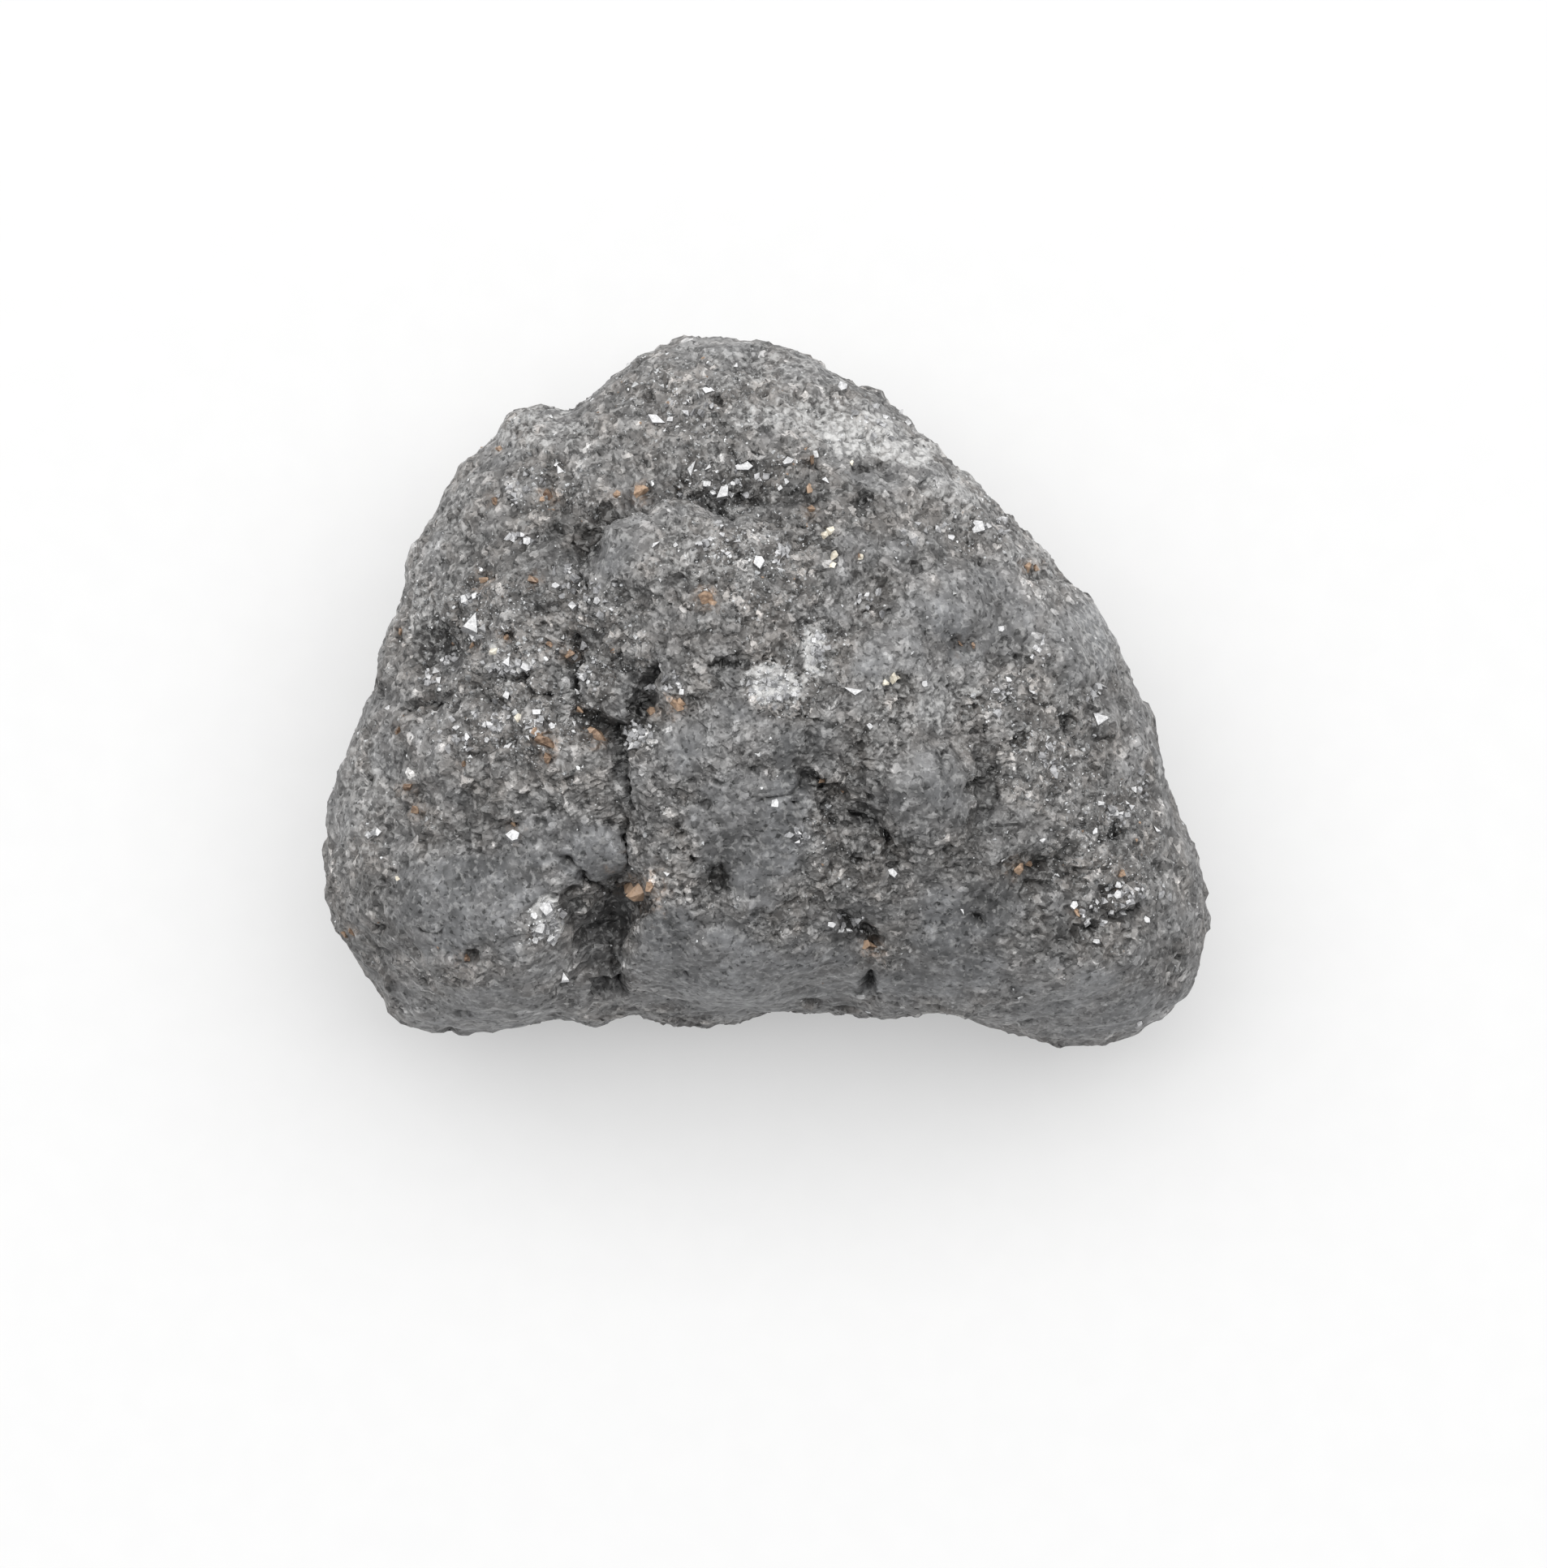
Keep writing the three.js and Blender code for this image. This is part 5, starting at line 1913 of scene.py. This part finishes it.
@dataclass
class Studio:
    """A pale floor, one broad soft light behind the stone's narrow end, and the camera above."""

    lens: float = 300.0
    sensor: float = 36.0
    clip: Plan = (0.01, 10.0)
    eye: Eye = Eye()
    light_reach: float = 340.0
    light_size: Plan = (600.0, 300.0)
    light_elevation: float = 69.0
    light_power: float = 1.6
    light_colour: Colour = (1.0, 0.995, 0.985)
    sky: float = 0.55
    sky_slope: float = 0.62
    sky_colour: Colour = (0.99, 1.0, 1.01)
    backdrop: float = 0.93
    card_reach: float = 2.0
    card_colour: Colour = (0.46, 0.46, 0.46)
    card_fibres: Veil = Veil(0.6, (0.985, 1.0), 1.0)
    card_roughness: float = 0.9
    card_gloss: float = 0.1
    underglow: float = 0.38

    @property
    def shine(self) -> np.ndarray:
        """The way that a flat face looks to send the soft light straight up."""
        rise = math.radians(self.light_elevation)
        return unit(np.array([0.0, math.cos(rise), math.sin(rise) + 1.0]))

    def build(self) -> None:
        """Makes the camera, floor, light and sky."""
        self._camera()
        self._floor()
        self._softbox()
        self._sky()

    def _camera(self) -> None:
        """Sets the camera straight above the stone."""
        lens = bpy.data.cameras.new("overhead")
        lens.lens = self.lens
        lens.sensor_width = self.sensor
        lens.clip_start, lens.clip_end = self.clip
        camera = bpy.data.objects.new("overhead", lens)
        camera.location = Vector(self.eye.place) * METRES
        bpy.context.scene.collection.objects.link(camera)
        bpy.context.scene.camera = camera

    def _floor(self) -> None:
        """Lays a wide sheet of pale card under the stone, a little lit from below."""
        reach = self.card_reach
        mesh = bpy.data.meshes.new("floor")
        mesh.from_pydata([(-reach, -reach, 0.0), (reach, -reach, 0.0), (reach, reach, 0.0),
                          (-reach, reach, 0.0)], [], [(0, 1, 2, 3)])
        bench = NodeBench("pale_card")
        fibres = bench.veiled(self.card_fibres)
        bench.feed(bench.shader.inputs["Base Color"], bench.grey(fibres, self.card_colour))
        bench.shader.inputs["Emission Color"].default_value = (1.0, 1.0, 1.0, 1.0)
        bench.shader.inputs["Emission Strength"].default_value = self.underglow
        bench.shader.inputs["Roughness"].default_value = self.card_roughness
        bench.shader.inputs["Specular IOR Level"].default_value = self.card_gloss
        mesh.materials.append(bench.material)
        floor = bpy.data.objects.new("floor", mesh)
        bpy.context.scene.collection.objects.link(floor)

    def _softbox(self) -> None:
        """Hangs the soft light, out of the camera's sight."""
        lamp = bpy.data.lights.new("softbox", "AREA")
        lamp.shape = "RECTANGLE"
        lamp.size, lamp.size_y = (side * METRES for side in self.light_size)
        lamp.energy = self.light_power
        lamp.color = self.light_colour
        softbox = bpy.data.objects.new("softbox", lamp)
        rise = math.radians(self.light_elevation)
        softbox.location = (0.0, math.cos(rise) * self.light_reach * METRES,
                            math.sin(rise) * self.light_reach * METRES)
        softbox.rotation_euler = (rise - math.pi / 2.0, 0.0, 0.0)
        softbox.visible_camera = False
        bpy.context.scene.collection.objects.link(softbox)

    def _sky(self) -> None:
        """Surrounds all with a pale light, stronger towards +Y, and even to the camera."""
        world = bpy.data.worlds.new("pale_room")
        world.use_nodes = True
        tree = world.node_tree
        tree.nodes.clear()
        way = tree.nodes.new("ShaderNodeTexCoord")
        axes = tree.nodes.new("ShaderNodeSeparateXYZ")
        slope = tree.nodes.new("ShaderNodeMapRange")
        for name, number in (("From Min", -1.0), ("From Max", 1.0),
                             ("To Min", self.sky * (1.0 - self.sky_slope)),
                             ("To Max", self.sky * (1.0 + self.sky_slope))):
            slope.inputs[name].default_value = number
        path = tree.nodes.new("ShaderNodeLightPath")
        level = tree.nodes.new("ShaderNodeMapRange")
        level.inputs["To Max"].default_value = self.backdrop
        glow = tree.nodes.new("ShaderNodeBackground")
        glow.inputs["Color"].default_value = (*self.sky_colour, 1.0)
        room = tree.nodes.new("ShaderNodeOutputWorld")
        tree.links.new(way.outputs["Generated"], axes.inputs[0])
        tree.links.new(axes.outputs["Y"], slope.inputs["Value"])
        tree.links.new(slope.outputs[0], level.inputs["To Min"])
        tree.links.new(path.outputs["Is Camera Ray"], level.inputs["Value"])
        tree.links.new(level.outputs[0], glow.inputs["Strength"])
        tree.links.new(glow.outputs[0], room.inputs["Surface"])
        scene = bpy.context.scene
        scene.world = world
        scene.view_settings.view_transform = "Standard"


def add_strewn_crystals(mass: StoneMass) -> None:
    """Strews crumbs of the stone and two sizes of crystal over it."""
    crumb = GrainFinish("grey_crumb", dark=(0.05, 0.05, 0.0495), light=(0.29, 0.288, 0.283),
                        rough=0.45, refraction=1.5)
    StrewnGrains("grey_crumbs", Slot.STONE, count=6000, sizes=(0.09, 0.22), spots=12, seed=23,
                 sunk=(0.26, 0.48), tone=(2.4, 3.0), evenness=0.7,
                 sparkle=0.8).build(mass, crumb)
    crystal = GrainFinish("crystal_grain", dark=(0.03, 0.031, 0.032), light=(0.62, 0.63, 0.64),
                          rough=0.22)
    StrewnGrains("coarse_crystals", Slot.CRYSTAL, count=2900, sizes=(0.07, 0.15), spots=12, seed=21,
                 sunk=(0.12, 0.42), tone=(0.8, 1.5), evenness=0.25, sparkle=2.6,
                 dust_and_highlight=1.0).build(mass, crystal)
    StrewnGrains("fine_crystals", Slot.CRYSTAL, count=16000, sizes=(0.045, 0.09), spots=8, seed=22,
                 sunk=(0.12, 0.40), tone=(0.8, 1.7), evenness=0.30, sparkle=2.2,
                 dust_and_highlight=1.0).build(mass, crystal)


def add_shining_crystals(mass: StoneMass, studio: Studio) -> None:
    """Sets the crystals whose flat faces send the soft light to the eye."""
    white = GrainFinish("bright_crystal", dark=(0.10, 0.10, 0.105), light=(0.44, 0.44, 0.45),
                        rough=0.36)
    PlacedGrains("bright_crystals", Slot.CRYSTAL, BRIGHT_FACETS, seed=31, tone=(0.35, 0.98),
                 raised=0.16, eye=studio.eye, shine=studio.shine,
                 flicker=0.2).build(mass, white)
    scattered = clustered(CLUSTERS, sizes=(0.05, 0.12), richness=2.0, seed=41)
    PlacedGrains("clustered_crystals", Slot.CRYSTAL, scattered, seed=34, tone=(0.2, 1.0),
                 raised=0.10, eye=studio.eye, shine=studio.shine, spread=0.4,
                 flicker=0.2).build(mass, white)


def add_coloured_grains(mass: StoneMass, eye: Eye) -> None:
    """Sets the rust and cream grains, and strews rust specks."""
    rust = GrainFinish("rust", dark=(0.09, 0.052, 0.032), light=(0.44, 0.305, 0.21), rough=0.5,
                       refraction=1.5)
    PlacedGrains("rust_grains", Slot.RUST, RUST_GRAINS, seed=32, tone=(0.2, 1.0), raised=0.12,
                 eye=eye, plumpness=1.6, flicker=0.25).build(mass, rust)
    StrewnGrains("rust_specks", Slot.RUST, count=160, sizes=(0.05, 0.11), spots=10, seed=24,
                 sunk=(0.1, 0.4), tone=(2.0, 2.0), sparkle=0.8).build(mass, rust)
    cream = GrainFinish("cream", dark=(0.42, 0.36, 0.27), light=(0.85, 0.81, 0.70), rough=0.5,
                        refraction=1.5)
    PlacedGrains("cream_grains", Slot.CREAM, CREAM_CHIPS, seed=33, tone=(0.4, 0.9), raised=0.12,
                 eye=eye, plumpness=1.25).build(mass, cream)


def main() -> None:
    """Builds the studio and then the stone, from its mass to its smallest grains."""
    logging.basicConfig(level=logging.INFO, format="%(message)s")
    eye = Eye()
    studio = Studio(eye=eye)
    studio.build()
    mass = StoneMass(eye=eye)
    mass.build(StoneFinish())
    add_strewn_crystals(mass)
    add_shining_crystals(mass, studio)
    add_coloured_grains(mass, eye)


if __name__ == "__main__":
    main()
